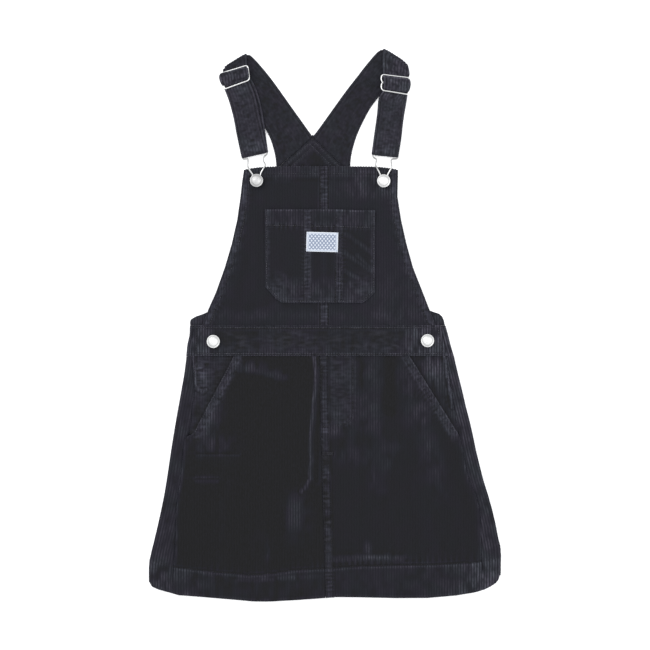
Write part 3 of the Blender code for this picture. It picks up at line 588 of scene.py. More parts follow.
def skirt_height(x, y):
    """Height of the skirt front's outer side: its level, with seams, pocket mouths, hem and folds added."""
    height = FRONT_LEVEL + 0.8 * bump(np.maximum(to_side_seam(x, y), 0), 10)
    for line in MOUTH_LINES.values():
        height = np.maximum(height, FRONT_LEVEL + 1.7 * near(x, y, line, 12) * rise(y, -142, 30))
    height += 0.9 * smooth((read(HEM_STITCH, x, "y") - y) / 3 + 0.3)
    height += folds(SKIRT_FOLDS, x, y)
    # The centre seam's allowance lies to its right, under a raised band.
    off_centre = x - centre_x(y)
    height += 0.55 * rise(off_centre, 0, 1.2) * fall(off_centre, 11, 1.6)
    height += stitched(x, y, list(SKIRT_SEAMS.values()))
    height += puckers(x, y, [(a + 5, b) for a, b in CENTRE_LINE], 4.6, 5, 0.24)
    height += puckers(x, y, FLY, 6, 5, 0.22)
    height += puckers(x, y - 4, SKIRT_SEAMS["hem"], 7.5, 6, 0.08 + 0.2 * bump(x - 45, 42))
    for side in SIDES:
        height += puckers(x, y, SKIRT_SEAMS["mouth_" + side + "_far"], 5.2, 5, 0.28)
    height += 0.30 * uneven(x, y, 34, 21, 1.6) + 0.10 * uneven(x, y, 9, 22, 2)
    return height


def hem_shift(x, y):
    """Brings rows near the bottom onto the curve of the hem."""
    return y + (read(HEM, x, "y") - 0.9 - HEM_NOMINAL) * smooth((-240 - y) / (-240 - HEM_NOMINAL))


on_fold = skirt_height(np.array([-10.5, -15, -19]), np.array([-60, -110, -170]))
print("heights along the sharp fold:", np.round(on_fold, 1))

# %% [markdown]
# ## A panel that lies flat
#
# Most panels are made by one rule: a grid whose columns follow the wales, a height for each point, less the
# rounding at its folded edges and the depth of the ribs, and a nap with painted sheen for each point. Slanted
# seams cut across the wales, as they do when cloth is cut on the straight grain.

# %% Flat panels
BEND_LIGHT = 0.9


def flat_panel(name, solid, sides, rows, height, nap_and_sheen, ladder, edges, shift=None, wall=CLOTH):
    """A panel lying flat. Its height is a function of x and y, less its four edges' rounding and the ribs.

    sides are its left and right one at each row, and shift moves rows onto a curved edge. edges are the
    rounding radii at left, right, bottom and top. Painted sheen lightens the panel where the cloth bends over
    a crest.
    """
    left, right = sides
    x, y = rib_grid(left, right, rows)
    at_rows = (x - left[:, None], right[:, None] - x, y - rows[0], rows[-1] - y)
    drop = sum(rounded(off, radius) for off, radius in zip(at_rows, edges) if radius)
    if shift:
        y = shift(x, y)
    smooth_height = height(x, y)
    ribs = rib(x - wander(x, y))
    top = smooth_height - np.minimum(drop, wall - 0.3)
    outer = np.stack([x, y, top + ribs], -1)
    inner = np.stack([x, y, smooth_height - wall], -1)
    # Painted sheen: lighter where the cloth bends over a crest.
    lit = np.clip(nap_and_sheen(x, y) + BEND_LIGHT * crest_bend(height, x, y), 0, 1)
    made = cloth(name, outer, inner, corduroy, 1 + ribs / RIB_DEPTH, lit, ladder(x, y))
    dress_up(made, "corduroy", solid)


print("columns in a panel 100 mm wide:", rib_grid(np.zeros(2), np.full(2, 100), np.arange(2))[0].shape[1])

# %% [markdown]
# ## Painted sheen and shade on the skirt's front
#
# Nap is 0 for dark standing pile and 1 for the lightest: painted sheen and highlights on unevenly brushed
# pile. It is light along the stitch lines, at the ends of the hem and on the sharp fold, and in soft patches
# from a short table; a painted shade darkens a trough on the right. A second rule, the ladder, paints short
# pale highlights on the steps where a seam is puckered.

# %% Light on the skirt
Lit = namedtuple("Lit", "x y wide long tilt strength")
SKIRT_LIT = table(Lit, (
    (-34, -236, 16, 26, 0, 0.10), (-98, -51, 22, 6.5, -6, 0.30), (-97, -56, 20, 1.4, -4, 0.26),
    (-60, -61, 12, 6.5, -10, 0.16), (-143, -119, 11, 24, -27, 0.34), (-141, -147, 26, 12, 0, 0.22),
    (-137, -157.5, 26, 1.3, -1, 0.24), (-146, -186, 16, 1.2, 1, 0.20), (-60, -309, 44, 3.4, 3, 0.34),
    (-150, -303, 24, 3, -8, 0.34), (-70, -275, 2.2, 9, 0, 0.22), (34, -74, 3.4, 34, 0, 0.22),
    (18, -60, 15, 20, 0, 0.14), (14, -106, 16, 12, 10, 0.22), (10, -130, 14, 5, 0, 0.32),
    (58, -62, 13, 20, 0, 0.20), (52, -105, 14, 28, 8, 0.20), (100, -75, 9, 26, 28, 0.22),
    (118, -108, 16, 16, 30, 0.24), (78, -150, 16, 10, 0, 0.10), (40, -160, 26, 9, 0, 0.12),
    (75, -170, 6, 8, 0, 0.20), (58, -186, 5, 14, 0, 0.18), (62, -282.5, 30, 2.2, 0, 0.55),
    (52, -274, 3.4, 6, 0, 0.45), (110, -292, 34, 2.4, 0, 0.20), (130, -160, 10, 40, 14, 0.16),
))


def lit_by(spots, x, y):
    """Soft tilted ovals of lit pile: e to the minus (across squared + along squared); the highest counts."""
    ovals = []
    for p in spots:
        c, s = math.cos(math.radians(p.tilt)), math.sin(math.radians(p.tilt))
        u, v = (x - p.x) * c + (y - p.y) * s, (y - p.y) * c - (x - p.x) * s
        ovals.append(p.strength * np.exp(-((u / p.wide) ** 2) - (v / p.long) ** 2))
    return highest(*ovals)


def blotches(x, y, seed, size=5.5):
    """Unevenly brushed pile: short stretches of a wale lie one way or the other."""
    wide = 0.75 + 0.85 * uneven(x, y, size, seed, 1.8)
    return np.clip(wide + 0.45 * uneven(x, y, 2.6, seed + 1, 3), 0.1, 1.6)


def both(x, y, seam, left, right, width, off=0):
    """The stronger of a left and a right seam's light, each with its own strength."""
    strengths = {"left": left, "right": right}
    return highest(*(k * near(x, y, SKIRT_SEAMS[seam % side], width, off) for side, k in strengths.items()))


def hem_sheen(x, y):
    """Painted sheen between the hem's stitches and its edge: light towards both ends, with a line at either
    side.
    """
    below = read(HEM_STITCH, x, "y") - y
    to_ends = np.clip((np.abs(x + 2) - 120) / 80, 0, 1)
    light = 0.05 + 0.45 * to_ends ** np.where(x > 0, 2, 1.5)
    light += 0.03 * (x > 60) + 0.18 * rise(x, 155, 25)
    light = rise(below, -1, 2) * light + 0.12 * bump(below - 2.6, 1.6)
    return light + 0.16 * bump(y - read(HEM, x, "y") - 1.2, 1.2)


def ridge_highlight(x, y):
    """Painted highlight on the sharp fold's crest: one thin light line on each side of it, fading downwards.
    """
    crest = np.maximum(0.60 * near(x + 1, y, RIDGE, 0.6), 0.34 * near(x - 1.3, y, RIDGE, 0.6))
    crest = crest * (0.9 + 0.5 * uneven(0, y, 11, 36))
    return crest * (0.55 + 0.45 * rise(y, -150, 60)) * rise(y, -206, 20)


def skirt_nap_and_sheen(x, y):
    """Painted sheen on brushed pile: hem's ends, stitch lines, mouths, ridge and patches; painted shade in a
    trough.
    """
    mouths = 0.62 * both(x, y, "mouth_%s", 1.35, 1, 1.3)
    mouths = np.maximum(mouths, 0.42 * both(x, y, "mouth_%s_far", 1.35, 1, 3.2, -1))
    sides = 0.22 * bump(to_side_seam(x, y) - 1, 1.6) * (y < POCKET_END)
    light = highest(hem_sheen(x, y), mouths, 0.36 * near(x, y, FLY, 1.7), sides, lit_by(SKIRT_LIT, x, y))
    shaded = 1 - bump(x - 80.5, 8) * rise(y, -118, 14)
    combed = 0.26 * band_of(x + 37, 13, 9) * band_of(y + 230, 29, 22)
    light = np.maximum(light * blotches(x, y, 32) + 0.035 * rise(x, -4, 10), combed)
    return np.maximum(light, ridge_highlight(x, y)) * shaded


def skirt_ladder(x, y):
    """Painted highlights on puckered steps: beside the centre seam, inside the curved stitch and at both
    mouths.
    """
    off = x - centre_x(y)
    beside_seam = rise(off, -0.5, 1.5)
    band = beside_seam * fall(off, 10.5, 2) * (0.30 + 0.10 * uneven(0, y, 24, 34))
    band = band * (0.55 + 0.9 * rungs(x, y, 4.7, 35))
    band += 0.30 * beside_seam * fall(off, 11, 2) * bump(y + 132, 10)
    inside = 0.18 + 0.10 * bump(np.hypot(x - 8, (y + 58) * 0.5), 12)
    inside = inside * fall(x, 34, 3) * rise(x, 4, 5) * rise(y, -124, 6)
    mouths = 0.34 * both(x, y, "mouth_%s_far", 1.5, 1, 4)
    left_edge, right_edge = (near(x, y, MOUTH_LINES[side], 0.7, 0.8) for side in SIDES)
    return np.clip(highest(band, inside, mouths, 0.3 * left_edge, 0.95 * right_edge), 0, 1)


print("nap on the hem's ends:", np.round(skirt_nap_and_sheen(np.array([-190, 190]), np.array([-310, -310])), 2))

# %% [markdown]
# ## The skirt's front panels
#
# Each front panel runs from the pocket mouth and side seam to the centre seam. Its rows are closer together
# at the hem, at the top and on two creases of the left pocket's bag, where the cloth bends most.

# %% Skirt fronts
low_rows = in_order(spread(HEM_NOMINAL, -286, 1.4), np.linspace(-286, -240, 14), np.linspace(-240, -132, 27))
left_rows = in_order(low_rows, np.linspace(-132, -46, 28), spread(-46, SKIRT_TOP, 2.2))
right_rows = in_order(low_rows, np.linspace(-132, -46, 46), spread(-46, SKIRT_TOP, 1.5))
FRONT_ROWS = {"left": finer(left_rows, -157.5, -186), "right": right_rows}
for side, front_rows in FRONT_ROWS.items():
    below_mouth = read(SKIRT, front_rows, side + "_seam")
    outer_side = np.where(front_rows >= POCKET_END, mouth_x(side, front_rows), below_mouth)
    sides = sided(side, outer_side, centre_x(front_rows) - INWARD[side] * GAP / 2)
    edges = (0.8, 0.8, 1.2, 0)
    flat_panel(
        "front_panel_" + side, "skirt_front_" + side, sides, front_rows,
        skirt_height, skirt_nap_and_sheen, skirt_ladder, edges, hem_shift,
    )

# %% [markdown]
# ## The back of the skirt, wrapped round both sides
#
# The back panel lies flat under the dress and rolls up round both sides, so a strip of it shows beside each
# side seam. Its profile is a run of points from the right lip over the right roll, under the dress and up the
# left side: a gentle slope, half an ellipse, the flat underside, half an ellipse and a slope. On the strips
# the wales run beside the outline, so there the columns keep an even distance from the roll. The underside
# has its own wales, straight down, and its crests touch the surface.

# %% Wrapped panels
HALF_CIRCLE = np.linspace(np.pi / 2, -np.pi / 2, 21)
Roll = namedtuple("Roll", "lip height depth")


def wrapped(name, solid, rows, sides, lips, shape, wall, nap_and_sheen, shift=None, hem_radius=0):
    """A panel whose sides roll up, from its sides and its lips at each row.

    A roll has its height, the depth that it bulges by, and the height of the lip where it ends.
    """
    (left, right), (left_lip, right_lip), (lip, roll, depth) = sides, lips, shape
    half = roll / 2
    top_right, top_left = right - depth, left + depth
    strips = []
    for top, end, way in ((top_right, right_lip, 1), (top_left, left_lip, -1)):
        width = (top - end) * way
        off = np.minimum(np.arange(math.ceil(width.max() / STEP) + 1) * STEP, width[:, None])
        x = top[:, None] - way * off
        z = roll - (roll - lip) * (off / width[:, None]) ** 1.3 - rounded(width[:, None] - off, 0.9)
        strips.append((x, z, np.zeros_like(x), np.ones_like(x), off))
    right_strip = [v[:, ::-1] for v in strips[0]]
    cosine, sine = np.cos(HALF_CIRCLE), np.sin(HALF_CIRCLE)
    long_way = np.hypot(cosine / depth, sine / half)
    arc = half + half * sine, cosine / depth / long_way, sine / half / long_way
    turned = distances(np.stack([depth * cosine, half * sine], 1))
    z, nx, nz, off = (np.broadcast_to(v, (rows.size, cosine.size)) for v in (*arc, -turned))
    right_arc = [top_right[:, None] + depth * cosine, z, nx, nz, off]
    left_arc = [v[:, ::-1] for v in (top_left[:, None] - depth * cosine, z, -nx, nz, off)]
    lines = np.arange(math.ceil(right.max() * 3 / WALE), math.floor(left.min() * 3 / WALE), -1) * WALE / 3
    under = np.clip(lines[None, :], top_left[:, None], top_right[:, None])
    underside = [under, np.zeros_like(under), np.zeros_like(under), -np.ones_like(under), under]
    runs = zip(right_strip, right_arc, underside, left_arc, strips[1])
    x, z, nx, nz, across = (np.concatenate(parts, axis=1) for parts in runs)
    y = np.broadcast_to(rows[:, None], x.shape)
    ribs = rib(across + 0.25 * uneven(x, y, 16, 5, 3))
    sunk = np.minimum(rounded(y - rows[0], hem_radius), wall - 0.4) if hem_radius else 0
    low = z < 0.4 * half
    if shift:
        y = shift(x, y) + low * fall(y, rows[0] + 3, 3)
    lift = 0.2 * uneven(x, y, 21, 41, 1.5) * (z > half)
    outer = np.stack([x + nx * (ribs - sunk), y, z + nz * (ribs - sunk) + lift], -1)
    inner = np.stack([x - nx * wall, y, z - nz * wall + lift], -1)
    made = cloth(name, outer, inner, corduroy, 1 + ribs / RIB_DEPTH, nap_and_sheen(x, y))
    dress_up(made, "corduroy", solid)


def strip_nap_and_sheen(x, y):
    """Painted sheen on the side strips' rolls, in brushed patches, most near the hem's corners and the right
    hip.
    """
    low = fall(y, read(HEM_STITCH, x, "y") + 2, 3) * np.where(x > 0, 0.34, 0.18)
    hip = 0.22 * bump(y + 70, 45) * (x > 0)
    base = np.where(x > 0, 0.30, 0.20)
    return np.clip((base + low + hip) * blotches(x, y, 43), 0, 1)


back_rows = in_order(spread(HEM_NOMINAL, -286, 2.6), np.linspace(-286, SKIRT_TOP + 0.2, 38))
wrapped(
    "back_panel", "skirt_back", back_rows,
    (read(SKIRT, back_rows, "left_edge") - 0.5, read(SKIRT, back_rows, "right_edge") + 0.4),
    [read(SKIRT, back_rows, side + "_seam") - INWARD[side] * GAP for side in SIDES],
    Roll(lip=4.4, height=6.4, depth=4.5), CLOTH, strip_nap_and_sheen, hem_shift, 1.2,
)

# %% [markdown]
# ## Pocket facings
#
# Behind each slanted pocket mouth lies a facing, a plain piece that closes the pocket towards the side. Its
# outer edge is the free front edge of the side opening, turned under and stitched, so it stands up as a
# roll with a painted highlight, and a painted shadow lies along the mouth beside the front panel's edge.

# %% Facings
OPENINGS = {
    "left": [(-160.6, -37), (-158.8, -56), (-157.6, -71), (-154.6, -79), (-149, -81.6), (-145.6, -79)],
    "right": [(145.4, -37), (147.2, -47), (149.8, -62), (152.4, -78), (154, -90), (155.4, -100)],
}


def facing_height(side, x, y):
    """Height of one facing: low at the mouth, higher along the side, with the opening's rolled edge on it."""
    seam = read(SKIRT, y, side + "_seam")
    height = 3.7 + 1.2 * bump(x - seam, 6) * rise(y, POCKET_END, 25)
    edge, _ = to_line(x, y, OPENINGS[side])
    height += 0.55 * bump(edge, 1.6) - 0.35 * bump(edge - 3.4, 1)
    height += puckers(x, y, OPENINGS[side], 6.5, 6, 0.25)
    return height + 0.15 * uneven(x, y, 12, 51)


def facing_nap_sheen_and_shadow(side, x, y):
    """A painted highlight on the rolled edge and painted shadow by the mouth. Left: combed ribs at the
    corner; right: lit all over.
    """
    edge, _ = to_line(x, y, OPENINGS[side])
    if side == "left":
        line, shade = 0.9 * bump(edge, 0.9) * rise(y, -84, 8), 8
        rest = 0.13 + 0.50 * patch(x, y, -151, -72, 7.5, 11) + 0.22 * patch(x, y, -152, -52, 6, 12)
    else:
        line, shade = 0.8 * bump(edge, 0.9) * rise(y, -92, 10), 5.5
        rest = 0.24 + 0.36 * patch(x, y, 138, -50, 14, 22)
    # Painted shadow along the mouth, beside the front panel's raised edge.
    mouth_shadow = 1 - 0.85 * near(x, y, MOUTH_LINES[side], shade)
    return np.maximum(line, rest * blotches(x, y, 52)) * mouth_shadow


def facing_ladder(x, y):
    """Painted highlights on short steps beside the left opening's edge, where stitching draws it up, and the
    right roll.
    """
    steps = 0.8 * patch(x, y, -151, -58, 7, 20) * (0.3 + rungs(x, y, 5, 53))
    steps += 0.14 * (x < 0) * (0.4 + rungs(x, y, 4.2, 54))
    return np.maximum(steps, near(x, y, OPENINGS["right"], 0.8) * rise(y, -96, 10))


facing_rows = spread(POCKET_END, SKIRT_TOP, 1.6)
for side in SIDES:
    tucked = mouth_x(side, facing_rows) + 4 * INWARD[side]
    sides = sided(side, read(SKIRT, facing_rows, side + "_seam"), tucked)
    edges = (*sided(side, 0.9, 0), 0, 0)
    height, nap_and_sheen = (partial(rule, side) for rule in (facing_height, facing_nap_sheen_and_shadow))
    flat_panel(
        "facing_" + side, "pocket_facing_" + side, sides, facing_rows,
        height, nap_and_sheen, facing_ladder, edges,
    )

# %% [markdown]
# ## The waistband
#
# The waistband is folded double along its edges and topstitched along top and bottom, so it is thicker than
# the skirt and swells between its two rows of stitches. Its ribs run across its width. Its back, like the
# skirt's, rolls round both sides.

# %% Waistband
BAND_SEAMS = {
    "top": [(-157.5, -3.2), (-60, -3.4), (40, -3.4), (139, -3)],
    "bottom": [(-159, -34.6), (-60, -35.2), (40, -35.4), (145, -34.8)],
    "left_end": [(-157.2, -34), (-156.2, -4)],
    "right_end": [(143.6, -34), (138, -4)],
}


def band_crown(y):
    """The band's level with a shallow crown: 1 less the square of the share of the way from its middle."""
    return BAND_LEVEL + 0.5 * (1 - ((y + 19) / 18.5) ** 2)


def band_height(x, y):
    """The crown, a little higher at the band's ends, with its stitch grooves and puckers."""
    height = band_crown(y) + 0.4 * bump(x + 162, 25) + 0.4 * bump(x - 148, 25)
    height += stitched(x, y, list(BAND_SEAMS.values()), 0.55, 1)
    height += puckers(x, y + 4, BAND_SEAMS["bottom"], 8, 7, 0.24)
    height += puckers(x, y - 4, BAND_SEAMS["top"], 9, 6, 0.16)
    return height + 0.22 * uneven(x, y, 15, 61, 1.3)


def band_nap_and_sheen(x, y):
    """Painted sheen towards both ends and in creases; a painted highlight on the roll beside both rows of
    stitches.
    """
    ends = 0.30 * fall(x, -116, 34) + 0.52 * rise(x, 78, 52)
    low = 0.12 * bump(y + 31, 5) * (0.6 + 0.6 * uneven(x, 0, 22, 63))
    creased = 0.07 * smooth(0.5 + 0.9 * uneven(x, y, 13, 62, 0.45))
    lines = highest(0.70 * bump(y + 3, 0.7), 0.85 * bump(y + 34.7, 0.7), 0.62 * bump(y + 37.1, 0.6))
    edge = 0.85 * bump(read(BAND_ENDS, y, "front_right") - x - 1, 1.1)
    pile = (0.03 + ends + low + creased) * blotches(x, y, 64)
    return highest(pile, lines * (0.85 + 0.3 * uneven(x, y, 6, 66)), edge)


def band_ladder(x, y):
    """Painted highlights on sideways creases between the two rows of stitches, fewer towards the band's ends.
    """
    middle = rise(y, -34, 4) * fall(y, -5, 4) * band_of(x + 8, 132, 40)
    return np.clip(middle * (0.14 + 0.18 * uneven(x, y, 17, 67, 0.5)), 0, 1)


band_rows = finer(spread(-37.5, -0.5, 2.4), -34.7, -3)
front_band_rows = finer(spread(-37.65, -0.25, 2), -34.7, -3)
flat_panel(
    "band_front", "waistband_front", [read(BAND_ENDS, front_band_rows, "front_" + side) for side in SIDES],
    front_band_rows, band_height, band_nap_and_sheen, band_ladder, (1.2, 1.2, 1.3, 1.3), wall=BAND_WALL,
)
wrapped(
    "band_back", "waistband_back", band_rows,
    [read(BAND_ENDS, band_rows, "back_" + side) for side in SIDES],
    [read(BAND_ENDS, band_rows, "front_" + side) - INWARD[side] * GAP for side in SIDES],
    Roll(lip=6, height=6.2, depth=3.5), BAND_WALL, band_nap_and_sheen,
)

# %% [markdown]
# ## The bib
#
# The bib is two halves joined by a felled seam: both allowances are folded to one side and held by two rows
# of stitches, which leaves a raised band with short puckers. Its sides have a narrow hem, and its top edge is
# turned down, so the wales bend over it and scallop its outline.

# %% Bib halves
BIB_FOLDS = table(Fold, (
    (-60, 22, -95, 8, 1, 8), (48, 20, 84, 6, 1, 8), (-118, 40, -106, 92, 0.9, 9), (104, 36, 94, 84, 0.9, 9),
))


def bib_side(column, inset):
    """A run of stitches beside one of the bib's sides."""
    return [(getattr(row, column) + inset, row.y) for row in BIB]


BIB_SEAMS = {
    "left": bib_side("left_edge", 8.5),
    "right": bib_side("right_edge", -8.5),
    "top": [(-98, 184), (-50, 184.6), (0, 184.8), (50, 184.6), (86, 184)],
    "centre_left": [(-5.7, 0), (-5.5, 90), (-5.4, 193)],
    "centre_right": [(3.8, 0), (3.9, 90), (4, 193)],
}


def to_bib_side(x, y):
    """How far a place lies inside the nearer side of the bib."""
    return np.minimum(x - read(BIB, y, "left_edge"), read(BIB, y, "right_edge") - x)


def bib_height(x, y):
    """The bib's plain height: its level, thicker at its hems and middle seam, and a rise into the band."""
    to_side = to_bib_side(x, y)
    height = FRONT_LEVEL + 0.8 * bump(np.maximum(to_side, 0), 6) + 0.5 * bump(x - BIB_MIDDLE, 6)
    height += 1.1 * rise(y, 176, 10) + 0.9 * bump(np.maximum(y + 0.2, 0), 12)
    return height + folds(BIB_FOLDS, x, y)


def bib_relief(x, y):
    """The plain height with its stitch grooves, puckers and unevenness."""
    height = bib_height(x, y) + stitched(x, y, list(BIB_SEAMS.values()))
    height += puckers(x, y, [(-0.8, 0), (-0.8, 193)], 4.4, 4.5, 0.28)
    for side in SIDES:
        height += puckers(x, y, BIB_SEAMS[side], 7, 5, 0.22)
    return height + 0.25 * uneven(x, y, 26, 71, 1.5) + 0.08 * uneven(x, y, 8, 72, 2)


def bib_nap_and_sheen(x, y):
    """Painted highlights: two light lines down each side hem, and the ribs are lit near the top, most on the
    right.
    """
    to_side = to_bib_side(x, y)
    sides = np.maximum(0.70 * bump(to_side - 3.3, 0.7), 0.52 * bump(to_side - 8.4, 0.7))
    sides = sides * (0.8 + 0.5 * rise(y, 140, 30))
    sides = np.maximum(sides, 0.09 * fall(to_side, 9, 2))
    top = 0.34 * bump(y - 184.5, 1.3) + 0.20 * rise(y, 186, 3)
    right = (0.08 + 0.17 * rise(x, 26, 20)) * rise(y, 150, 14) * (x > 5)
    right += 0.10 * bump(y - 170, 9) * rise(x, 20, 20)
    left = 0.14 * rise(y, 172, 9) * bump(x + 55, 26)
    left += 0.16 * bump(x + 18, 10) * rise(y, 178, 6)
    seam = 0.14 * band_of(x - BIB_MIDDLE, 5.6, 1.6)
    lower = 0.10 * bump(y - 34, 36) * rise(x, 40, 30) + 0.10 * bump(y - 12, 6)
    light = highest(sides, top, right, left, seam, lower)
    return light * blotches(x, y, 73) + 0.055 + 0.02 * (x > 0)


def bib_ladder(x, y):
    """Painted highlights on short steps down the felled middle seam and along both side hems."""
    to_side = to_bib_side(x, y)
    seam = 0.55 * band_of(x - BIB_MIDDLE, 5.4, 1.4) * (0.25 + rungs(x, y, 4.4, 74))
    return seam + 0.42 * bump(to_side - 5.4, 3)


def bib_shift(x, y):
    """The last rows rise to the top edge, which the ribs scallop. Its corners drop by a sixth power."""
    middle, half = -4.8, 94
    top = BIB_TOP - 4.4 * np.abs((x - middle) / half) ** 6
    scallops = 0.9 * bump(y - 190, 1.5) * (1 + rib(x) / RIB_DEPTH - 0.6)
    return y + (top - 190) * rise(y, 150, 40) + scallops


bib_rows = in_order(spread(-0.2, 26, 1.8), np.linspace(26, 138, 24), spread(138, 190, 1.8))
bib_rows = finer(bib_rows, 184.5)
for side in SIDES:
    middle = np.full(bib_rows.size, BIB_MIDDLE) - INWARD[side] * GAP / 2
    sides = sided(side, read(BIB, bib_rows, side + "_edge"), middle)
    edges = (*sided(side, 1.1, 0), 0, 1.3)
    flat_panel(
        "bib_half_" + side, "bib_" + side, sides, bib_rows,
        bib_relief, bib_nap_and_sheen, bib_ladder, edges, bib_shift,
    )

# %% [markdown]
# ## The bib pocket
#
# The pocket is three panels with felled seams between them, a deep hem at its mouth and cut-off lower
# corners, stitched down all round. It lies on the bib, so its height starts from the bib's own rule.

# %% Pocket
POCKET_SEAMS = {
    "outline": [
        (-71.2, 140.2), (-71.2, 70), (-71, 48), (-64.8, 41.6), (-58, 34.4), (-50.8, 29.4),
        (-20, 29), (14, 29), (44.6, 29.4), (52.2, 35), (59.6, 42.4), (59.6, 70), (59.8, 138.2),
    ],
    "hem": [(-72, 122), (-20, 120.8), (18, 120), (60, 119.1)],
    "fell_left": [(-24.8, 28), (-24.8, 138)],
    "fell_left_far": [(-17.2, 28), (-17.2, 138)],
    "fell_right": [(13, 28), (14.2, 138)],
    "fell_right_far": [(20, 28), (21.2, 138)],
}


def pocket_height(x, y):
    """The pocket lies on the bib, and is thicker at its top hem and over its two felled seams."""
    return bib_height(x, y) + 1.9 + 0.6 * rise(y, 119, 6)


Crease = namedtuple("Crease", "start end")
CREASES = table(Crease, (
    ((26, 111), (58, 88)), ((24, 88), (54, 68)), ((24, 66), (52, 50)), ((30, 50), (44, 38)),
    ((40, 84), (58, 66)), ((-44, 36), (-60, 58)), ((-34, 36), (-50, 60)),
))


def creases(x, y):
    """Where the cloth is drawn into slanting creases: 1 along each of them, and 0.6 on the left."""
    return highest(*(near(x, y, crease, 3) for crease in CREASES)) * np.where(x > 0, 1, 0.6)


def between_fells(x):
    """1 between the two rows of stitches of each felled seam."""
    return np.maximum(band_of(x + 21, 5, 1.2), band_of(x - 17.1, 4.6, 1.2))


def pocket_hem(x):
    """Where the hem's stitches lie: they slope down to the right."""
    return 120.4 - 0.0224 * x


def pocket_rise(x):
    """How far the pocket's top edge is pulled up, more at the left."""
    return 2.3 - 1.1 * rise(x, 5, 40)


def pocket_shift(x, y):
    """Brings the rows near the top onto the sloping stitches and the raised edge."""
    return y + (pocket_hem(x) - 121.2) * bump(y - 121.2, 9) + pocket_rise(x) * rise(y, 123, 14)


def pocket_relief(x, y):
    """The pocket's plain height with its stitch grooves, its two felled bands, puckers and creases."""
    height = pocket_height(x, y) + stitched(x, y, list(POCKET_SEAMS.values()))
    height += 0.35 * band_of(x + 21, 5.4, 1.4) + 0.35 * band_of(x - 17.2, 5.4, 1.4)
    for line, period in (("fell_left", 4.6), ("fell_right_far", 4.4), ("hem", 6)):
        height += puckers(x, y, POCKET_SEAMS[line], period, 4.5, 0.24)
    height += 0.35 * creases(x, y)
    return height + 0.14 * uneven(x, y, 11, 81, 1.4)


def pocket_nap_and_sheen(x, y):
    """Painted highlights: light rolls along the outline, the hem's stitches and each felled seam, and on
    creases.
    """
    outline = 0.80 * near(x, y, POCKET_SEAMS["outline"], 0.8)
    from_hem, from_top = y - pocket_hem(x), y - 137.6 - pocket_rise(x)
    hem = 0.42 * bump(from_hem, 0.8) + 0.50 * bump(from_top, 0.8) + 0.15 * rise(from_hem, -1.2, 2)
    fells = highest(bump(x + 25, 0.8), bump(x + 17, 0.8), bump(x - 13.4, 0.8), bump(x - 20.8, 0.8))
    low = 0.22 * fall(y, 62, 20)
    light = highest(outline, hem, 0.42 * fells, 0.12 * between_fells(x), low, 0.15 * creases(x, y))
    return light * blotches(x, y, 82, 4.5) + 0.05


def pocket_ladder(x, y):
    """Painted highlights on short steps between the felled seams' rows of stitches and along the outline."""
    corners = patch(np.abs(x + 6), y, 52, 46, 12, 14)
    outline = near(x, y, POCKET_SEAMS["outline"], 2, 2.4)
    return highest(0.5 * between_fells(x) * (0.25 + rungs(x, y, 4.6, 83)), 0.30 * corners, 0.24 * outline)


pocket_rows = in_order(spread(27, 47, 1.6), np.linspace(47, 115, 44), spread(115, 139, 1.8))
pocket_rows = finer(pocket_rows, 121.2, 137.6)
for which, (one, two) in zip(("left", "middle", "right"), zip(PocketRow._fields[1:], PocketRow._fields[2:])):
    left = read(BIB_POCKET, pocket_rows, one) + (0 if which == "left" else GAP / 2)
    right = read(BIB_POCKET, pocket_rows, two) - (0 if which == "right" else GAP / 2)
    edges = (1.1 if which == "left" else 0, 1.1 if which == "right" else 0, 1.1, 1.2)
    flat_panel(
        "pocket_" + which, "bib_pocket_" + which, (left, right), pocket_rows,
        pocket_relief, pocket_nap_and_sheen, pocket_ladder, edges, pocket_shift,
    )

# %% [markdown]
# ## The label
#
# A small woven label is sewn to the pocket's middle panel, turned a little. Its pattern is a plain trellis
# inside a thin frame line, worked out from the label's own 0..1 coordinates: two zigzags added together are 1
# where the trellis's slanting lines run. A fine wave on Object coordinates makes the threads.

# %% Label
label_cloth, tree, shader = material(
    "woven label", Roughness=0.55, Specular_IOR_Level=0.35, Sheen_Weight=0.15, Sheen_Roughness=0.4
)
weave = node(tree, "UVMap", uv_map="label")
parts = node(tree, "SeparateXYZ")
tree.links.new(weave.outputs["UV"], parts.inputs["Vector"])


def gap_to(socket, place):
    """How far a coordinate is from a place, either way."""
    return joined(tree, "ABSOLUTE", joined(tree, "SUBTRACT", socket, place))


def zigzag(socket, turns):
    """A coordinate run up and down between 0 and 1 the given number of times."""
    return joined(tree, "PINGPONG", joined(tree, "MULTIPLY", socket, turns), 1)


across_label, up_label = gap_to(parts.outputs["X"], 0.5), gap_to(parts.outputs["Y"], 0.5)
crossing = joined(tree, "ADD", zigzag(parts.outputs["X"], 18), zigzag(parts.outputs["Y"], 9))
trellis = ramp(tree, gap_to(crossing, 1), 0.58, 0.30)
inside = times(tree, ramp(tree, across_label, 0.44, 0.42), ramp(tree, up_label, 0.41, 0.38))
frame_line = joined(
    tree, "MAXIMUM",
    ramp(tree, gap_to(across_label, 0.455), 0.012, 0.004), ramp(tree, gap_to(up_label, 0.43), 0.018, 0.006),
)
label_colour = mixed(tree, noise(tree, 1400, 2, (1, 0.3, 1)), (0.55, 0.59, 0.65), (0.66, 0.69, 0.74))
label_colour = mixed(tree, times(tree, trellis, inside), label_colour, (0.20, 0.24, 0.33))
label_colour = mixed(tree, frame_line, label_colour, (0.30, 0.35, 0.46))
tree.links.new(label_colour, shader.inputs["Base Color"])
threads = node(tree, "TexWave", Scale=620, Distortion=0.6, Detail=1, bands_direction="X")
threads_at = node(tree, "TexCoord")
tree.links.new(threads_at.outputs["Object"], threads.inputs["Vector"])
bumped(tree, shader, threads.outputs["Fac"], 0.00012, 0.7)

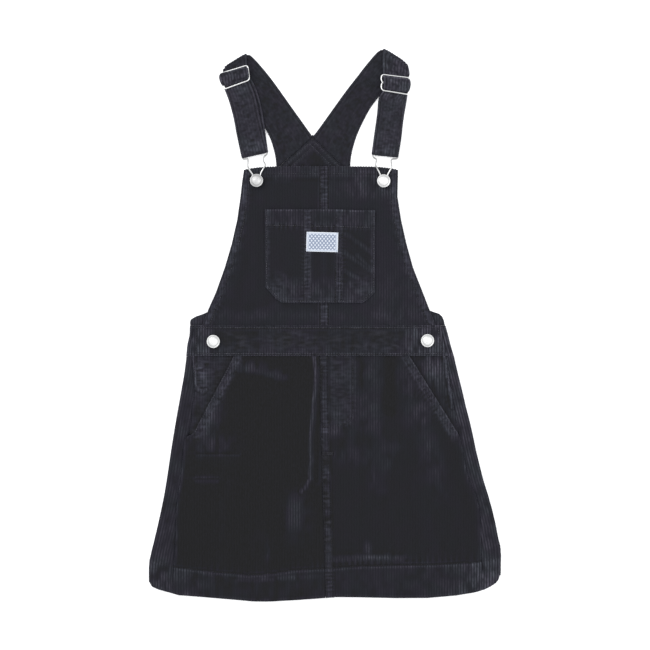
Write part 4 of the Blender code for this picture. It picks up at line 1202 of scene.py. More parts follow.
LABEL_MIDDLE, LABEL_SIZE, LABEL_TURN = (-3.3, 101.3), (38.7, 24), math.radians(-1.5)
LABEL_COLUMNS, LABEL_ROWS = 49, 33
u, v = np.meshgrid(np.linspace(-0.5, 0.5, LABEL_COLUMNS), np.linspace(-0.5, 0.5, LABEL_ROWS))
along, up = u * LABEL_SIZE[0], v * LABEL_SIZE[1]
label_x = LABEL_MIDDLE[0] + along * math.cos(LABEL_TURN) - up * math.sin(LABEL_TURN)
label_y = LABEL_MIDDLE[1] + along * math.sin(LABEL_TURN) + up * math.cos(LABEL_TURN)
edge_off = np.minimum((0.5 - np.abs(u)) * LABEL_SIZE[0], (0.5 - np.abs(v)) * LABEL_SIZE[1])
label_z = pocket_height(label_x, label_y) + 1 - 0.45 * rounded(edge_off, 0.9)
label_z = label_z + 0.18 * uneven(label_x, label_y, 9, 91) - 0.15 * bump(edge_off - 1.5, 0.6)
face = np.stack([label_x, label_y, label_z], -1)
underside = np.stack([label_x, label_y, pocket_height(label_x, label_y) + 0.3], -1)
label = cloth("label_patch", face, underside, label_cloth, np.ones_like(u), np.zeros_like(u))

# Its 0..1 coordinates: each point's place on the label, turned back and divided by the label's size.
places = np.empty(len(label.data.vertices) * 3)
label.data.vertices.foreach_get("co", places)
along, up = (places.reshape(-1, 3)[:, :2] / MM - LABEL_MIDDLE).T
share_along = (along * math.cos(LABEL_TURN) + up * math.sin(LABEL_TURN)) / LABEL_SIZE[0] + 0.5
share_up = (-along * math.sin(LABEL_TURN) + up * math.cos(LABEL_TURN)) / LABEL_SIZE[1] + 0.5
corners = np.empty(len(label.data.loops), np.int32)
label.data.loops.foreach_get("vertex_index", corners)
shares = np.stack([share_along, share_up], -1)[corners].astype(np.float32)
label.data.uv_layers.new(name="label").data.foreach_set("uv", shares.ravel())
dress_up(label, "label", "label")

# %% [markdown]
# ## The back above the waist
#
# Behind the bib the back rises, narrowing to a yoke with a V at its top, where the straps are sewn on. We
# look at its inner face. Rows of stitches follow both arms of the V, and the pile between them is pressed and
# mottled, so its ribs are shallow there.

# %% Back and yoke
V_LINE = [(-58.3, 190.5), (-14.9, 230.2), (29.8, 186)]
YOKE_SEAMS = {
    "left_near": beside(V_LINE[:2], -3),
    "left_far": beside(V_LINE[:2], -9),
    "right_near": beside(V_LINE[1:], -3),
    "right_far": beside(V_LINE[1:], -9),
}


def back_height(x, y):
    """The back's upper face: one layer, thicker on its V, with stitch grooves, puckers and bruised pile."""
    off, _ = to_line(x, y, V_LINE)
    height = CLOTH + 0.25 * fall(off, 11, 2) + 0.25 * stitched(x, y, list(YOKE_SEAMS.values()))
    height += sum(puckers(x, y, YOKE_SEAMS[side + "_far"], 5, 5, 0.2) for side in SIDES)
    return height + 0.14 * uneven(x, y, 8, 95)


def back_nap_and_sheen(x, y):
    """Painted highlights on rope-like rows along the V, painted shade under its point, lit wings above the
    waistband.
    """
    off, along = to_line(x, y, V_LINE)
    rope = smooth(0.5 + 0.8 * np.sin(2 * np.pi * (along + 0.5 * off) / 3.4 + 1.2 * uneven(x, y, 8, 97)))
    rows_of_v = np.maximum(bump(off - 3.4, 1.4), 0.85 * bump(off - 10.2, 1.5)) * (0.15 + rope)
    wings = 0.30 * bump(y - 6, 10)
    shaded = 1 - 0.8 * patch(x, y, -11, 204, 13, 12)
    return np.clip((0.01 + 0.36 * rows_of_v + 0.09 * blotches(x, y, 96, 3)) * shaded + wings, 0, 1)


rows = in_order(spread(-0.4, 150, 3.6), np.linspace(150, BACK_TOP, 52))
left, right = read(BACK_BIB, rows, "left_edge"), read(BACK_BIB, rows, "right_edge")
x, low_y = rib_grid(left, right, rows)
# The rows near the top rise onto the V: by the sixth power of their share of the way up.
lift = np.clip(low_y / BACK_TOP, 0, 1) ** 6
v_height = np.interp(x, *np.array(V_LINE).T) + 0.75 + 1.8 * band_of(x + 14.9, 2.2, 1.4)
y = low_y + (v_height - BACK_TOP) * lift
ribs = rib(x - wander(x, low_y)) * (0.75 - 0.35 * rise(y, 150, 30))
off_edge = np.minimum(np.minimum(x - left[:, None], right[:, None] - x), (BACK_TOP - low_y) * 0.8)
height = back_height(x, y) - rounded(off_edge, 1)
face, underside = np.stack([x, y, height + ribs * 0.8], -1), np.stack([x, y, np.zeros_like(x)], -1)
back = cloth("back_above_waist", face, underside, corduroy, 1 + ribs / RIB_DEPTH, back_nap_and_sheen(x, y))
dress_up(back, "corduroy", "back_bib")

# %% [markdown]
# ## Straps
#
# Each strap is one long ribbon, doubled and topstitched. It starts at the yoke with its inner face up, folds
# over the shoulder, runs under, over and under the slider's bars, down to the hook's loop, round it, and back
# up behind itself. Short tables give its two edges in plan, on the neck's side and on the arm's, and its
# height, in this order: up the back, the shoulder's fold, on to the slider, the slider's three bars, down the
# front, the hook's loop, and behind itself again.

# %% Strap tables
StrapRow = namedtuple("StrapRow", "neck_x neck_y arm_x arm_y z")
Strap = namedtuple("Strap", "back shoulder over slider front loop again")
STRAPS = {
    "left": Strap(
        back=(
            (-15.2, 230.6, -58.9, 190.9, 1.2), (-24, 242.8, -61.2, 209, 1.2),
            (-34.5, 257.5, -67.5, 229.5, 1.2), (-44.9, 272.1, -78, 248, 1.2), (-55.3, 286.8, -88.5, 265, 1.2),
            (-66, 301.4, -98.5, 281.5, 1.2), (-78, 316.2, -110, 297, 1.2), (-87.6, 326.6, -118, 307, 1.2),
            (-92, 330.2, -120.6, 311.6, 1.2),
        ),
        shoulder=((-95.2, 330.2, -121.9, 313.7, 3),),
        over=((-95.5, 324.4, -124.6, 311.4, 4.8),),
        slider=(
            (-94.8, 316.4, -123.8, 307.8, 4.8), (-92.7, 307.4, -128.8, 300.8, 11.5),
            (-92.4, 298.2, -122.6, 287.8, 6.6),
        ),
        front=(
            (-85.3, 279.5, -116.8, 272.5, 6.6), (-80.5, 257.5, -111.4, 252.5, 6.6),
            (-75.4, 235.5, -107.2, 230, 6.6),
        ),
        loop=((-69.8, 214.2, -102.2, 206.9, 4.35),),
        again=(
            (-71.8, 229, -105, 224, 3.8), (-75.4, 255, -108, 250, 3.9), (-80.5, 278, -113, 271, 3.9),
            (-86.5, 294, -118.5, 285, 3.95), (-92.5, 303.5, -121.5, 296, 5.3),
        ),
    ),
    "right": Strap(
        back=(
            (-14.5, 230.6, 30.2, 186.4, 1.2), (-5.3, 242.8, 32.4, 208, 1.2), (5.2, 257.5, 38.4, 230, 1.2),
            (15.6, 272.1, 47.4, 250, 1.2), (26.3, 286.8, 56.8, 267, 1.2), (37.7, 301.4, 68, 281.5, 1.2),
            (49.3, 316.4, 80.5, 296, 1.2), (61.1, 330.4, 92.5, 308.5, 1.2), (65.6, 334.6, 94.6, 313.4, 1.2),
            (68.4, 336.2, 96.8, 317.6, 1.2),
        ),
        shoulder=((70.7, 336.3, 97.9, 318.9, 3),),
        over=(
            (70.4, 331, 100.9, 318, 4.8), (70.4, 324, 102.4, 312.6, 4.8), (70.4, 318, 103.1, 308.4, 4.8),
            (70.5, 312, 103.2, 305, 4.8),
        ),
        slider=(
            (70.6, 305.6, 101.8, 301.7, 4.8), (71.4, 295.6, 104.4, 292.2, 11.5),
            (70.4, 285.8, 100.6, 281.4, 6.6),
        ),
        front=((65.4, 276, 98.8, 272.5, 6.2), (63.6, 257.5, 95.5, 254, 4.6), (60.5, 235.5, 93.6, 232, 4.8)),
        loop=((57.2, 211.4, 90, 207.8, 4.35),),
        again=(
            (61, 229, 93, 225, 1.7), (64, 254, 96, 250.5, 1.7), (66.8, 274, 99.2, 270.5, 3.5),
            (70.2, 283, 100.6, 279.5, 3.9), (71.6, 291, 101, 287.5, 5.3),
        ),
    ),
}
STRAPS = {side: Strap(*(table(StrapRow, rows) for rows in runs)) for side, runs in STRAPS.items()}
print("rows in the strap tables:", {side: sum(len(rows) for rows in runs) for side, runs in STRAPS.items()})

# %% [markdown]
# ## The path of a strap
#
# A ribbon is kept as two lines, its neck edge and its arm edge, row by row. Between the table's rows each
# line is a smooth curve. Where the ribbon turns over an edge its two lines follow half circles, and at the
# slider both rise over the middle bar and dip under the other two.

# %% Strap paths
WOVEN_ROWS = 41


def ends_of(rows):
    """Rows as an array: (row, neck or arm, x y z)."""
    return np.array([((r.neck_x, r.neck_y, r.z), (r.arm_x, r.arm_y, r.z)) for r in rows], float)


def half_turn(line, radius, toward, upward, steps=12, pressed=1):
    """The ribbon turning over a line: its ends, moved by a half circle's cosine outwards and its sine up.

    A pressed fold reaches out less than its radius: the cosine is multiplied by this share.
    """
    way = line[0] - line[1]
    out = np.array([-way[1], way[0], 0]) / np.hypot(way[0], way[1])
    out *= np.sign(out[1]) * toward
    turn = np.linspace(-np.pi / 2, np.pi / 2, steps + 1) * (1 if upward else -1)
    move = radius * (pressed * np.cos(turn)[:, None] * out + np.sin(turn)[:, None] * np.array([0, 0, 1]))
    return line[None] + move[:, None]


def through_slider(bars):
    """Under the first bar, over the middle one and under the last.

    Each edge runs straight from the first bar to the last, one + (three - one) t / 2 for t from 0 to 2, and
    spreads towards the peak row near the middle bar, where it is above the frame.
    """
    t = np.linspace(0, 2, WOVEN_ROWS)[:, None, None]
    one, two, three = bars[:, None]
    spread_out = np.sqrt(np.clip(1 - ((1 - t) / 0.78) ** 2, 0, 1))
    path = one + (three - one) * t / 2 + spread_out * (two - (one + three) / 2)
    first, peak, last = bars[:, 0, 2]
    low = np.where(t <= 1, first, last)
    path[:, :, 2:] = low + (peak - low) * smooth((np.where(t <= 1, 0.87, 0.89) - np.abs(1 - t)) / 0.36)
    return path


def blend(a, b, c, d, t):
    """A smooth curve from b to c, whose slopes come from a and d (Catmull-Rom), at shares t of the way."""
    return 0.5 * (2 * b + (c - a) * t + (2 * a - 5 * b + 4 * c - d) * t**2 + (3 * b - a - 3 * c + d) * t**3)


def curve_through(points, spacing):
    """A smooth curve through an array of rows, read at about the given spacing."""
    first, last = 2 * points[0] - points[1], 2 * points[-1] - points[-2]
    p = np.concatenate([first[None], points, last[None]])
    steps = max(int(np.linalg.norm(points[1:, 0, :2] - points[:-1, 0, :2], axis=1).max() / spacing), 2)
    t = np.linspace(0, 1, steps, endpoint=False)[None, :, None, None]
    made = blend(*(p[k : k + len(p) - 3][:, None] for k in range(4)), t)
    return np.concatenate([made.reshape(-1, 2, 3), points[-1:]])


StrapMarks = namedtuple("StrapMarks", "turn bar_in bar_out loop")


def strap_path(strap):
    """The whole ribbon, row by row, and its rows at the turn, at both sides of the slider and at the hook."""
    back, shoulder, over, slider, front, loop, again = map(ends_of, strap)
    to_shoulder = curve_through(back, 1.9)
    turned = half_turn(shoulder[0], 1.8, 1, True, pressed=0.5)
    woven = through_slider(slider)
    over = curve_through(np.concatenate([turned[-1:], over, woven[:1]]), 1.8)[1:-1]
    looped = half_turn(loop[0], 2.75, -1, False, 14)
    down = curve_through(np.concatenate([woven[-1:], front, looped[:1]]), 1.7)[1:-1]
    behind = curve_through(np.concatenate([looped[-1:], again]), 3)[1:]
    runs = [to_shoulder, turned, over, woven, down, looped, behind]
    begins = np.cumsum([len(run) for run in runs])
    return np.concatenate(runs), StrapMarks(begins[0] + 6, begins[2], begins[3], begins[4])


STRAP_ROWS = {side: strap_path(strap) for side, strap in STRAPS.items()}
print("rows along the straps:", {side: len(path) for side, (path, _) in STRAP_ROWS.items()})

# %% [markdown]
# ## The surface of a strap
#
# The cross profile is carried along the path: ribs on both faces, thin at the edges, thick inside them. The
# rows run at a slant to the strap, so a place in a row is its distance from the middle line, measured square
# to the strap, divided by the share that the slant leaves. Sheen is painted lighter where the ribbon is bent.

# %% Strap surfaces
STRAP_WALE, STRAP_INSET = 3.6, 3


def strap_frame(path):
    """Middle, unit direction across, half width, unit normal and share of skew at each row of a ribbon."""
    middle = path.mean(axis=1)
    across = path[:, 1] - path[:, 0]
    width = np.linalg.norm(across, axis=1)
    across = across / width[:, None]
    way = np.gradient(middle, axis=0)
    way /= np.linalg.norm(way, axis=1)[:, None]
    normal = np.cross(across, way)
    skew = np.linalg.norm(normal, axis=1)
    return middle, across, width / 2, normal / skew[:, None], skew


def strap_half(off, reach):
    """Half the ribbon's thickness off its middle line: full, thinner at the edge, grooved at the stitches."""
    edge = reach - np.abs(off)
    return 1.2 - 0.75 * rounded(edge, 1.1) - 0.4 * bump(edge - STRAP_INSET, 0.8)


FOLD_BOW = {"left": 0.5, "right": 0.8}
ShoulderSheen = namedtuple("ShoulderSheen", "fold weave")
STRAP_SHEEN = {"left": ShoulderSheen(0.20, 0.40), "right": ShoulderSheen(0.38, 0.44)}


def strap_light(side, marks, row, along, length):
    """Lightness along a strap, painted sheen: low on the back, high where it bends over the shoulder, bars
    and hook.
    """
    lit, (turn, bar_in, bar_out, loop) = STRAP_SHEEN[side], marks
    front = 0.18 + 0.25 * bump(along - length[bar_out], 10) + 0.16 * bump(length[loop] - along, 14)
    at_row = [0, turn - 2, turn + 2, bar_in - 1, bar_in + 6, bar_out - 6, bar_out, loop + 3]
    zones = np.interp(row, at_row, [0.11, 0.11, lit.fold, lit.fold, lit.weave, lit.weave, 0, 0])
    return np.where((row >= bar_out) & (row <= loop), front, np.where(row > loop, 0.25, zones))


strap_surface = {}
for side, (path, marks) in STRAP_ROWS.items():
    middle, across, half, normal, skew = strap_frame(path)
    reach = half * skew
    step = STRAP_WALE / 5
    lines = np.arange(math.ceil(2 * reach.max() / step) + 1) * step
    from_neck = np.minimum(lines[None, :], 2 * reach[:, None])
    off = from_neck - reach[:, None]
    row = np.broadcast_to(np.arange(len(path))[:, None], off.shape)
    length = distances(middle)
    along = np.broadcast_to(length[:, None], off.shape)
    light = strap_light(side, marks, row, along, length)
    worn = np.clip(0.5 + (light - 0.1), 0.5, 0.8)
    ribs = rib((from_neck + 0.3 * uneven(off, along, 16, 5, 3)) * WALE / STRAP_WALE) * worn
    thick = strap_half(off, reach[:, None])
    thick = thick + 0.06 * uneven(off, along, 5, 101) + 0.08 * uneven(off, along, 3, 104)
    centre = middle[:, None] + across[:, None] * (off / skew[:, None])[..., None]
    # The shoulder's fold bows outwards: by 1 less the fourth power of the share of the way to the edge.
    fold = path[marks.turn, 0] - path[marks.turn, 1]
    outward = np.array([-fold[1], fold[0], 0]) * np.sign(fold[0]) / np.hypot(fold[0], fold[1])
    bow = FOLD_BOW[side] * bump(along - length[marks.turn], 12) * (1 - (off / reach[:, None]) ** 4)
    centre += bow[..., None] * outward
    n = normal[:, None]
    outer, inner = centre + n * (thick + ribs)[..., None], centre - n * (thick + ribs)[..., None]
    for face in (outer, inner):
        face[..., 2] = np.maximum(face[..., 2], 0)
    edge = reach[:, None] - np.abs(off)
    speckle = 0.85 + 0.9 * uneven(off, along, 2.4, 102) + 0.6 * uneven(off, along, 6, 103, 0.5)
    speckle = np.clip(speckle, 0.1, 2.2)
    in_front = rise(row, marks.turn, 4)
    # Painted highlights along both edges and beside the rows of stitches.
    lines = (0.30 * bump(edge - 0.9, 0.7) + 0.24 * bump(edge - 3.9, 0.8)) * (0.6 + 0.4 * in_front)
    nap_and_sheen = np.clip(light * speckle + lines, 0, 1)
    # Painted highlights: short pale steps down the strap's front.
    middle_front = (row > marks.bar_out) & (row < marks.loop)
    ladder = 0.22 * middle_front * rise(edge, 5, 3)
    strap = cloth("strap_ribbon_" + side, outer, inner, corduroy, 1 + ribs / RIB_DEPTH, nap_and_sheen, ladder)
    dress_up(strap, "corduroy", "strap_" + side)
    strap_surface[side] = (middle, across, reach, normal, skew, length)

# %% [markdown]
# ## One stitch
#
# A stitch is a short fat bead that dips into the cloth at both ends. It is worked out once, as a small
# surface of rings between two tips.

# %% One stitch
def bead(sides):
    """A stitch's shape: rings whose radius grows from its ends, with its middle higher than its ends."""
    t = np.array([-1, -0.82, -0.35, 0.35, 0.82, 1])
    size = np.array([0, 0.62, 1, 1, 0.62, 0])
    round_it = np.stack([np.cos(full_turn(sides)), np.sin(full_turn(sides))], 1)
    between = zip(t[1:-1], size[1:-1])
    rings = [np.column_stack([np.full(sides, at), radius * round_it]) for at, radius in between]
    points = np.concatenate([[[-1, 0, 0]], *rings, [[1, 0, 0]]])
    points[:, 2] -= 0.5 * points[:, 0] ** 2
    k = np.arange(sides)
    ahead, tip = (k + 1) % sides, 3 * sides + 1
    first, last = np.zeros_like(k), np.full_like(k, len(points) - 1)
    caps = [np.stack([first, 1 + ahead, 1 + k], 1), np.stack([last, tip + k, tip + ahead], 1)]
    low = [1 + band * sides for band in range(3)]
    lower = [np.stack([b + k, b + ahead, b + sides + ahead], 1) for b in low]
    upper = [np.stack([b + k, b + sides + ahead, b + sides + k], 1) for b in low]
    return points, np.concatenate([*caps, *lower, *upper])


BEAD, BEAD_FACES = bead(sides=4)
print("one stitch:", len(BEAD), "points,", len(BEAD_FACES), "triangles")

# %% [markdown]
# ## Rows of stitches
#
# All the stitches of a piece are that bead moved and turned by arrays: place plus direction times length,
# plus side times width, plus up times height. Their shine differs a little, by a seeded draw.

# %% Rows of stitches
STITCH, STITCH_RADIUS, STITCH_LIFT = 2.9, 0.42, 0.12


def along_line(line, reach, at):
    """The places on a run of points at these distances along it; reach holds its own points' distances."""
    return np.stack([np.interp(at, reach, column) for column in line.T], -1)


def places_along(line, pitch):
    """Both ends of every stitch along a run of points: (stitch, end, x y z), from distances along the run."""
    line = np.array(line, float)
    reach = distances(line)
    starts = np.arange(0.5, reach[-1] - pitch, pitch)
    share = np.stack([starts, starts + pitch * 0.8], 1)
    return along_line(line, reach, share)


def laid_on(line, height, shine, pitch=STITCH):
    """Stitches along a line in plan, lying on a height rule: their ends, up, and how lit the thread is."""
    ends = places_along(line, pitch)
    z = height(ends[..., 0], ends[..., 1])
    ends = np.concatenate([ends[..., :2], z[..., None]], -1)
    return ends, np.broadcast_to(np.array([0, 0, 1]), (len(ends), 3)), shine


def thread_work(name, runs):
    """One mesh of all the stitches in several runs, each of (ends, up, shine)."""
    ends, up = (np.concatenate([run[k] for run in runs]) for k in range(2))
    shine = np.concatenate([np.full(len(run[0]), run[2]) for run in runs])
    shine = shine * np.random.default_rng(len(ends)).uniform(0.55, 1.25, len(ends))
    middle, way = ends.mean(axis=1), (ends[:, 1] - ends[:, 0]) / 2
    side = np.cross(up, way)
    side /= np.linalg.norm(side, axis=1)[:, None]
    points = (
        middle[:, None]
        + way[:, None] * BEAD[None, :, :1]
        + side[:, None] * BEAD[None, :, 1:2] * STITCH_RADIUS
        + up[:, None] * (BEAD[None, :, 2:] * STITCH_RADIUS + STITCH_LIFT)
    )
    count = len(BEAD)
    faces = (BEAD_FACES[None] + np.arange(len(ends))[:, None, None] * count).reshape(-1, 3)
    made = put_mesh(name, points.reshape(-1, 3), faces, thread, shine=np.repeat(np.clip(shine, 0, 1), count))
    dress_up(made, "corduroy")
    print(name, len(ends), "stitches,", len(faces), "triangles")


print("stitches along 100 mm:", len(places_along([(0, 0), (100, 0)], STITCH)))

# %% [markdown]
# ## Topstitching
#
# Rows of thread hold every hem and seam of the body. Each row lies on the height rule of its own panel, so
# its stitches sit in the groove that the rule has under them.

# %% Topstitching
def on_skirt(x, y):
    """The height under a stitch on the skirt: the front's, or a side strip's beyond the side seams."""
    left, right = read(SKIRT, y, "left_seam"), read(SKIRT, y, "right_seam")
    edge_l, edge_r = read(SKIRT, y, "left_edge") + 4.5, read(SKIRT, y, "right_edge") - 4.5
    share = np.maximum((left - x) / (left - edge_l), (x - right) / (edge_r - right))
    strip = 4.4 + 2 * np.clip(share, 0, 1)
    return np.where((x < left) | (x > right), strip - 0.2, skirt_height(np.clip(x, left, right), y))


def hemmed(line):
    """Points of a skirt seam, read every few millimetres, so that it bends with its curve."""
    line = np.array(line, float)
    reach = distances(line)
    return along_line(line, reach, np.linspace(0, reach[-1], max(int(reach[-1] / 6), 2)))


SHINE = {
    "hem": 0.16, "centre_near": 0.12, "centre_far": 0.12,
    "fly": 0.34, "mouth_left": 0.75, "mouth_right": 0.85,
}
skirt_runs = [
    laid_on(hemmed(line), on_skirt, SHINE.get(name, 0.4))
    for name, line in SKIRT_SEAMS.items()
    if name not in ("tack", "bag_left", "bag_left_low")
]
tack = np.stack([np.tile([-4, 10], 7), np.repeat(np.linspace(-158.6, -155.2, 7), 2)], 1)
skirt_runs.append(laid_on(tack, on_skirt, 0.30, 2.2))
thread_work("skirt_stitches", skirt_runs)
BAND_SHINE = {"top": 0.8, "bottom": 1, "left_end": 0.4, "right_end": 0.8}
band_runs = [laid_on(line, band_height, BAND_SHINE[name]) for name, line in BAND_SEAMS.items()]
thread_work("band_stitches", band_runs)
bib_runs = [
    laid_on(line, bib_relief, 0.55) for name, line in BIB_SEAMS.items() if not name.startswith("centre")
]
for name in ("centre_left", "centre_right"):
    x0 = BIB_SEAMS[name][0][0]
    for low, high in ((1, 26.5), (142.5, 192)):
        bib_runs.append(laid_on([(x0, low), (x0, high)], bib_relief, 0.2))
thread_work("bib_stitches", bib_runs)
POCKET_SHINE = {"outline": 0.95, "hem": 0.7}
pocket_runs = [
    laid_on(line, pocket_relief, POCKET_SHINE.get(name, 0.34)) for name, line in POCKET_SEAMS.items()
]
thread_work("pocket_stitches", pocket_runs)
thread_work("yoke_stitches", [laid_on(line, back_height, 0.5) for line in YOKE_SEAMS.values()])
facing_runs = [laid_on(OPENINGS[side][:4], partial(facing_height, side), 0.95) for side in SIDES]
thread_work("facing_stitches", facing_runs)

# %% [markdown]
# ## The straps' stitches
#
# Both faces of a strap have a row of stitches beside each edge. They follow the ribbon through its turns, so
# each stitch takes its up direction from the ribbon's own surface there.

# %% Strap stitches
strap_runs = []
for side, (middle, across, reach, normal, skew, length) in strap_surface.items():
    for edge in (-1, 1):
        off = edge * (reach - STRAP_INSET)
        line = middle + across * (off / skew)[:, None]
        for face in (-1, 1):
            lifted = line + normal * (face * 0.85)
            ends = places_along(np.concatenate([lifted, normal * face], 1), STITCH)
            up = ends[:, :, 3:].mean(axis=1)
            strap_runs.append((ends[..., :3], up / np.linalg.norm(up, axis=1)[:, None], 0.10))
thread_work("strap_stitches", strap_runs)

# %% [markdown]
# ## Metal
#
# Buttons, hooks and sliders are nickel: bright on the bent wire, satin on the pressed discs. All of them are
# made as rings of points, joined into a surface by one rule.

# %% Metal finish
def metal(name, roughness, colour):
    """A nickel finish of this roughness. Its tone attribute darkens it: thin tarnish, and painted shade on
    hooks.
    """
    made, tree, shader = material(name, Metallic=1, Roughness=roughness)
    tree.links.new(mixed(tree, attribute(tree, "tone"), (0, 0, 0), colour), shader.inputs["Base Color"])
    return made


nickel = metal("bright wire", 0.3, (0.80, 0.80, 0.79))
satin = metal("satin nickel", 0.45, (0.84, 0.84, 0.83))
print("metal:", nickel.name, "and", satin.name)


def around(name, points, closed, finish, tone, *nodes):
    """A surface of rings of points, closed round each ring, and along them too where closed is true."""
    rings, columns = points.shape[:2]
    k, i = np.meshgrid(np.arange(rings if closed else rings - 1), np.arange(columns), indexing="ij")
    ahead, beyond = (i + 1) % columns, (k + 1) % rings * columns
    a, b, c, d = k * columns + i, k * columns + ahead, beyond + ahead, beyond + i
    faces = np.concatenate([np.stack([a, b, c], -1).reshape(-1, 3), np.stack([a, c, d], -1).reshape(-1, 3)])
    tone = np.broadcast_to(tone, (rings, columns))
    dress_up(put_mesh(name, points.reshape(-1, 3), faces, finish, tone=tone), "steel", *nodes)

# %% [markdown]
# ## Buttons
#
# A button is one profile turned round its middle. The profile runs from the middle of the face over the rim,
# under the head and down the shank. The face is a shallow dome with a plain ring pattern: thin concentric
# ridges, worked out as a sine of the radius, which fade out at its middle. The metal is a little darker
# inside the rim, where tarnish stays.

# %% Buttons
Button = namedtuple("Button", "x y shank tone")
BUTTONS = {
    "button_bib_left": Button(-83.3, 176.2, 3.6, 0.66),
    "button_bib_right": Button(71.6, 175.7, 3.6, 0.95),
    "button_waist_left": Button(-136, -20, 1.2, 0.93),
    "button_waist_right": Button(125, -19, 1.2, 0.94),
}
FACE_RADIUS, FACE_RINGS, BUTTON_SIDES = 6.3, 30, 48
ProfilePoint = namedtuple("ProfilePoint", "radius above_shank")
BUTTON_RIM = table(ProfilePoint, (
    (6.6, 1.2), (6.9, 1.42), (7.1, 1.72), (7.4, 1.82), (7.7, 1.72), (7.95, 1.35), (8.1, 1), (8.1, 0.35),
    (7.9, 0.1), (7.3, 0), (2.4, 0),
))
SHANK_END = table(ProfilePoint, ((2.4, 0.3), (0.02, 0.3)))


def ring_pattern(r):
    """Thin ridges round a button's face, -1 to 1: a sine of the radius, fading in from the middle."""
    return np.sin(r * 2 * np.pi / 1.55) * rise(r, 1.2, 1)


def button_profile(shank):
    """Radius and height from the middle of the face, over the rim, under the head and down the shank."""
    r = np.linspace(0.02, FACE_RADIUS, FACE_RINGS)
    face = shank + 1.3 + 0.75 * (1 - (r / FACE_RADIUS) ** 2) + 0.10 * ring_pattern(r)
    radius = np.concatenate([r, [point.radius for point in BUTTON_RIM + SHANK_END]])
    rim = [shank + point.above_shank for point in BUTTON_RIM]
    return radius, np.concatenate([face, rim, [point.above_shank for point in SHANK_END]])


for name, spec in BUTTONS.items():
    x, y = np.float64(spec.x), np.float64(spec.y)
    ground = float(bib_height(x, y) if y > 0 else band_crown(y))
    r, z = button_profile(spec.shank)
    turn = full_turn(BUTTON_SIDES)
    z = np.repeat(z[:, None] + ground, BUTTON_SIDES, 1)
    points = np.stack([x + np.outer(r, np.cos(turn)), y + np.outer(r, np.sin(turn)), z], -1)
    rings = ring_pattern(r) * fall(r, 6.4, 0.4)
    tarnish = spec.tone * (1 - 0.36 * bump(r - 5.9, 1.2) + 0.10 * rings)
    around(name + "_disc", points[::-1], False, satin, tarnish[::-1, None], name)
print("buttons:", ", ".join(BUTTONS))

# %% [markdown]
# ## Hooks
#
# A hook is one closed loop of round wire. It goes round the strap's end, narrows to a neck and opens again
# round its button. The wire is a closed smooth curve through a table of knots, and a circle follows it.

# %% Hooks
WIRE_RADIUS, WIRE_SIDES = 0.95, 10


def closed_curve(knots, count):
    """A closed smooth curve through the knots, read at even steps along its length."""
    p = np.array(knots, float)
    t = np.linspace(0, 1, 16, endpoint=False)[None, :, None]
    fine = blend(*(np.roll(p, shift, 0)[:, None] for shift in (1, 0, -1, -2)), t).reshape(-1, 3)
    ring = np.concatenate([fine, fine[:1]])
    reach = distances(ring)
    return along_line(ring, reach, np.linspace(0, reach[-1], count, endpoint=False))


def tube(path, radius, closed):
    """Rings of points round a path: its sideways direction times cosine, plus its upward one times sine."""
    way = (np.roll(path, -1, 0) - np.roll(path, 1, 0)) if closed else np.gradient(path, axis=0)
    way /= np.linalg.norm(way, axis=1)[:, None]
    side = np.cross(way, np.array([0, 0, 1]))
    side /= np.linalg.norm(side, axis=1)[:, None]
    up = np.cross(side, way)
    turn = full_turn(WIRE_SIDES)[None, :, None]
    radius = np.broadcast_to(radius, (len(path),))[:, None, None]
    return path[:, None] + radius * (np.cos(turn) * side[:, None] + np.sin(turn) * up[:, None])


HookPoint = namedtuple("HookPoint", "x y z")
HOOKS = {
    "left": table(HookPoint, (
        (-100.2, 207.2, 4.35), (-100.6, 204.4, 4.5), (-99.8, 202.5, 4.9), (-96.6, 202.8, 5.3),
        (-94.3, 202.4, 5.8), (-93.9, 199, 6.5), (-93.9, 193.2, 7), (-91.6, 188.6, 7), (-88.4, 184, 6.4),
        (-87.1, 180, 5.9), (-86.9, 176, 5.9), (-85.2, 173.3, 5.9), (-82.6, 172.8, 5.9), (-80.1, 174.4, 5.9),
        (-79.2, 177.6, 5.9), (-78.4, 184.6, 6.5), (-75.2, 190.6, 7), (-73, 194, 6.9), (-73.2, 196.8, 6.6),
        (-74.6, 199.4, 6.2), (-75, 202.4, 5.8), (-73.8, 205.6, 5.3), (-70.8, 208.4, 4.8), (-71, 211, 4.5),
        (-72, 213.5, 4.35), (-75, 212.8, 4.35), (-97.2, 207.9, 4.35),
    )),
    "right": table(HookPoint, (
        (58.4, 211.4, 4.35), (58.2, 207.6, 4.5), (58.6, 205, 4.9), (60.3, 203.6, 5.3), (62.6, 202.2, 5.8),
        (62.4, 199, 6.4), (61.8, 195, 6.9), (63.4, 191.4, 7), (66.9, 184.6, 6.5), (67.9, 180, 5.9),
        (68.1, 175.6, 5.9), (69.8, 172.6, 5.9), (72.6, 172.2, 5.9), (75, 174.2, 5.9), (75.5, 178, 5.9),
        (76.6, 183.6, 6.4), (79.2, 188.4, 7), (81.4, 192.6, 7), (81.2, 196.6, 6.8), (80.7, 200, 6.2),
        (82.4, 202.2, 5.7), (86.6, 202.8, 5.1), (88.6, 203.6, 4.6), (88.9, 208, 4.35), (85.9, 208.4, 4.35),
        (61.4, 211.1, 4.35),
    )),
}
for side, knots in HOOKS.items():
    wire = tube(closed_curve(knots, 150), WIRE_RADIUS, True)
    # The loop in the strap's shade is darker than the part round the button.
    tone = 0.42 + 0.46 * fall(wire[..., 1], 193, 5)
    around("wire_hook_" + side, wire, True, nickel, tone, "hook_" + side)
print("the hooks are bent from wire", 2 * WIRE_RADIUS, "mm thick")

# %% [markdown]
# ## Sliders
#
# A slider is a rounded frame of the same wire, given by its four corners, with a thinner bar across its
# middle. The strap is woven over that bar.

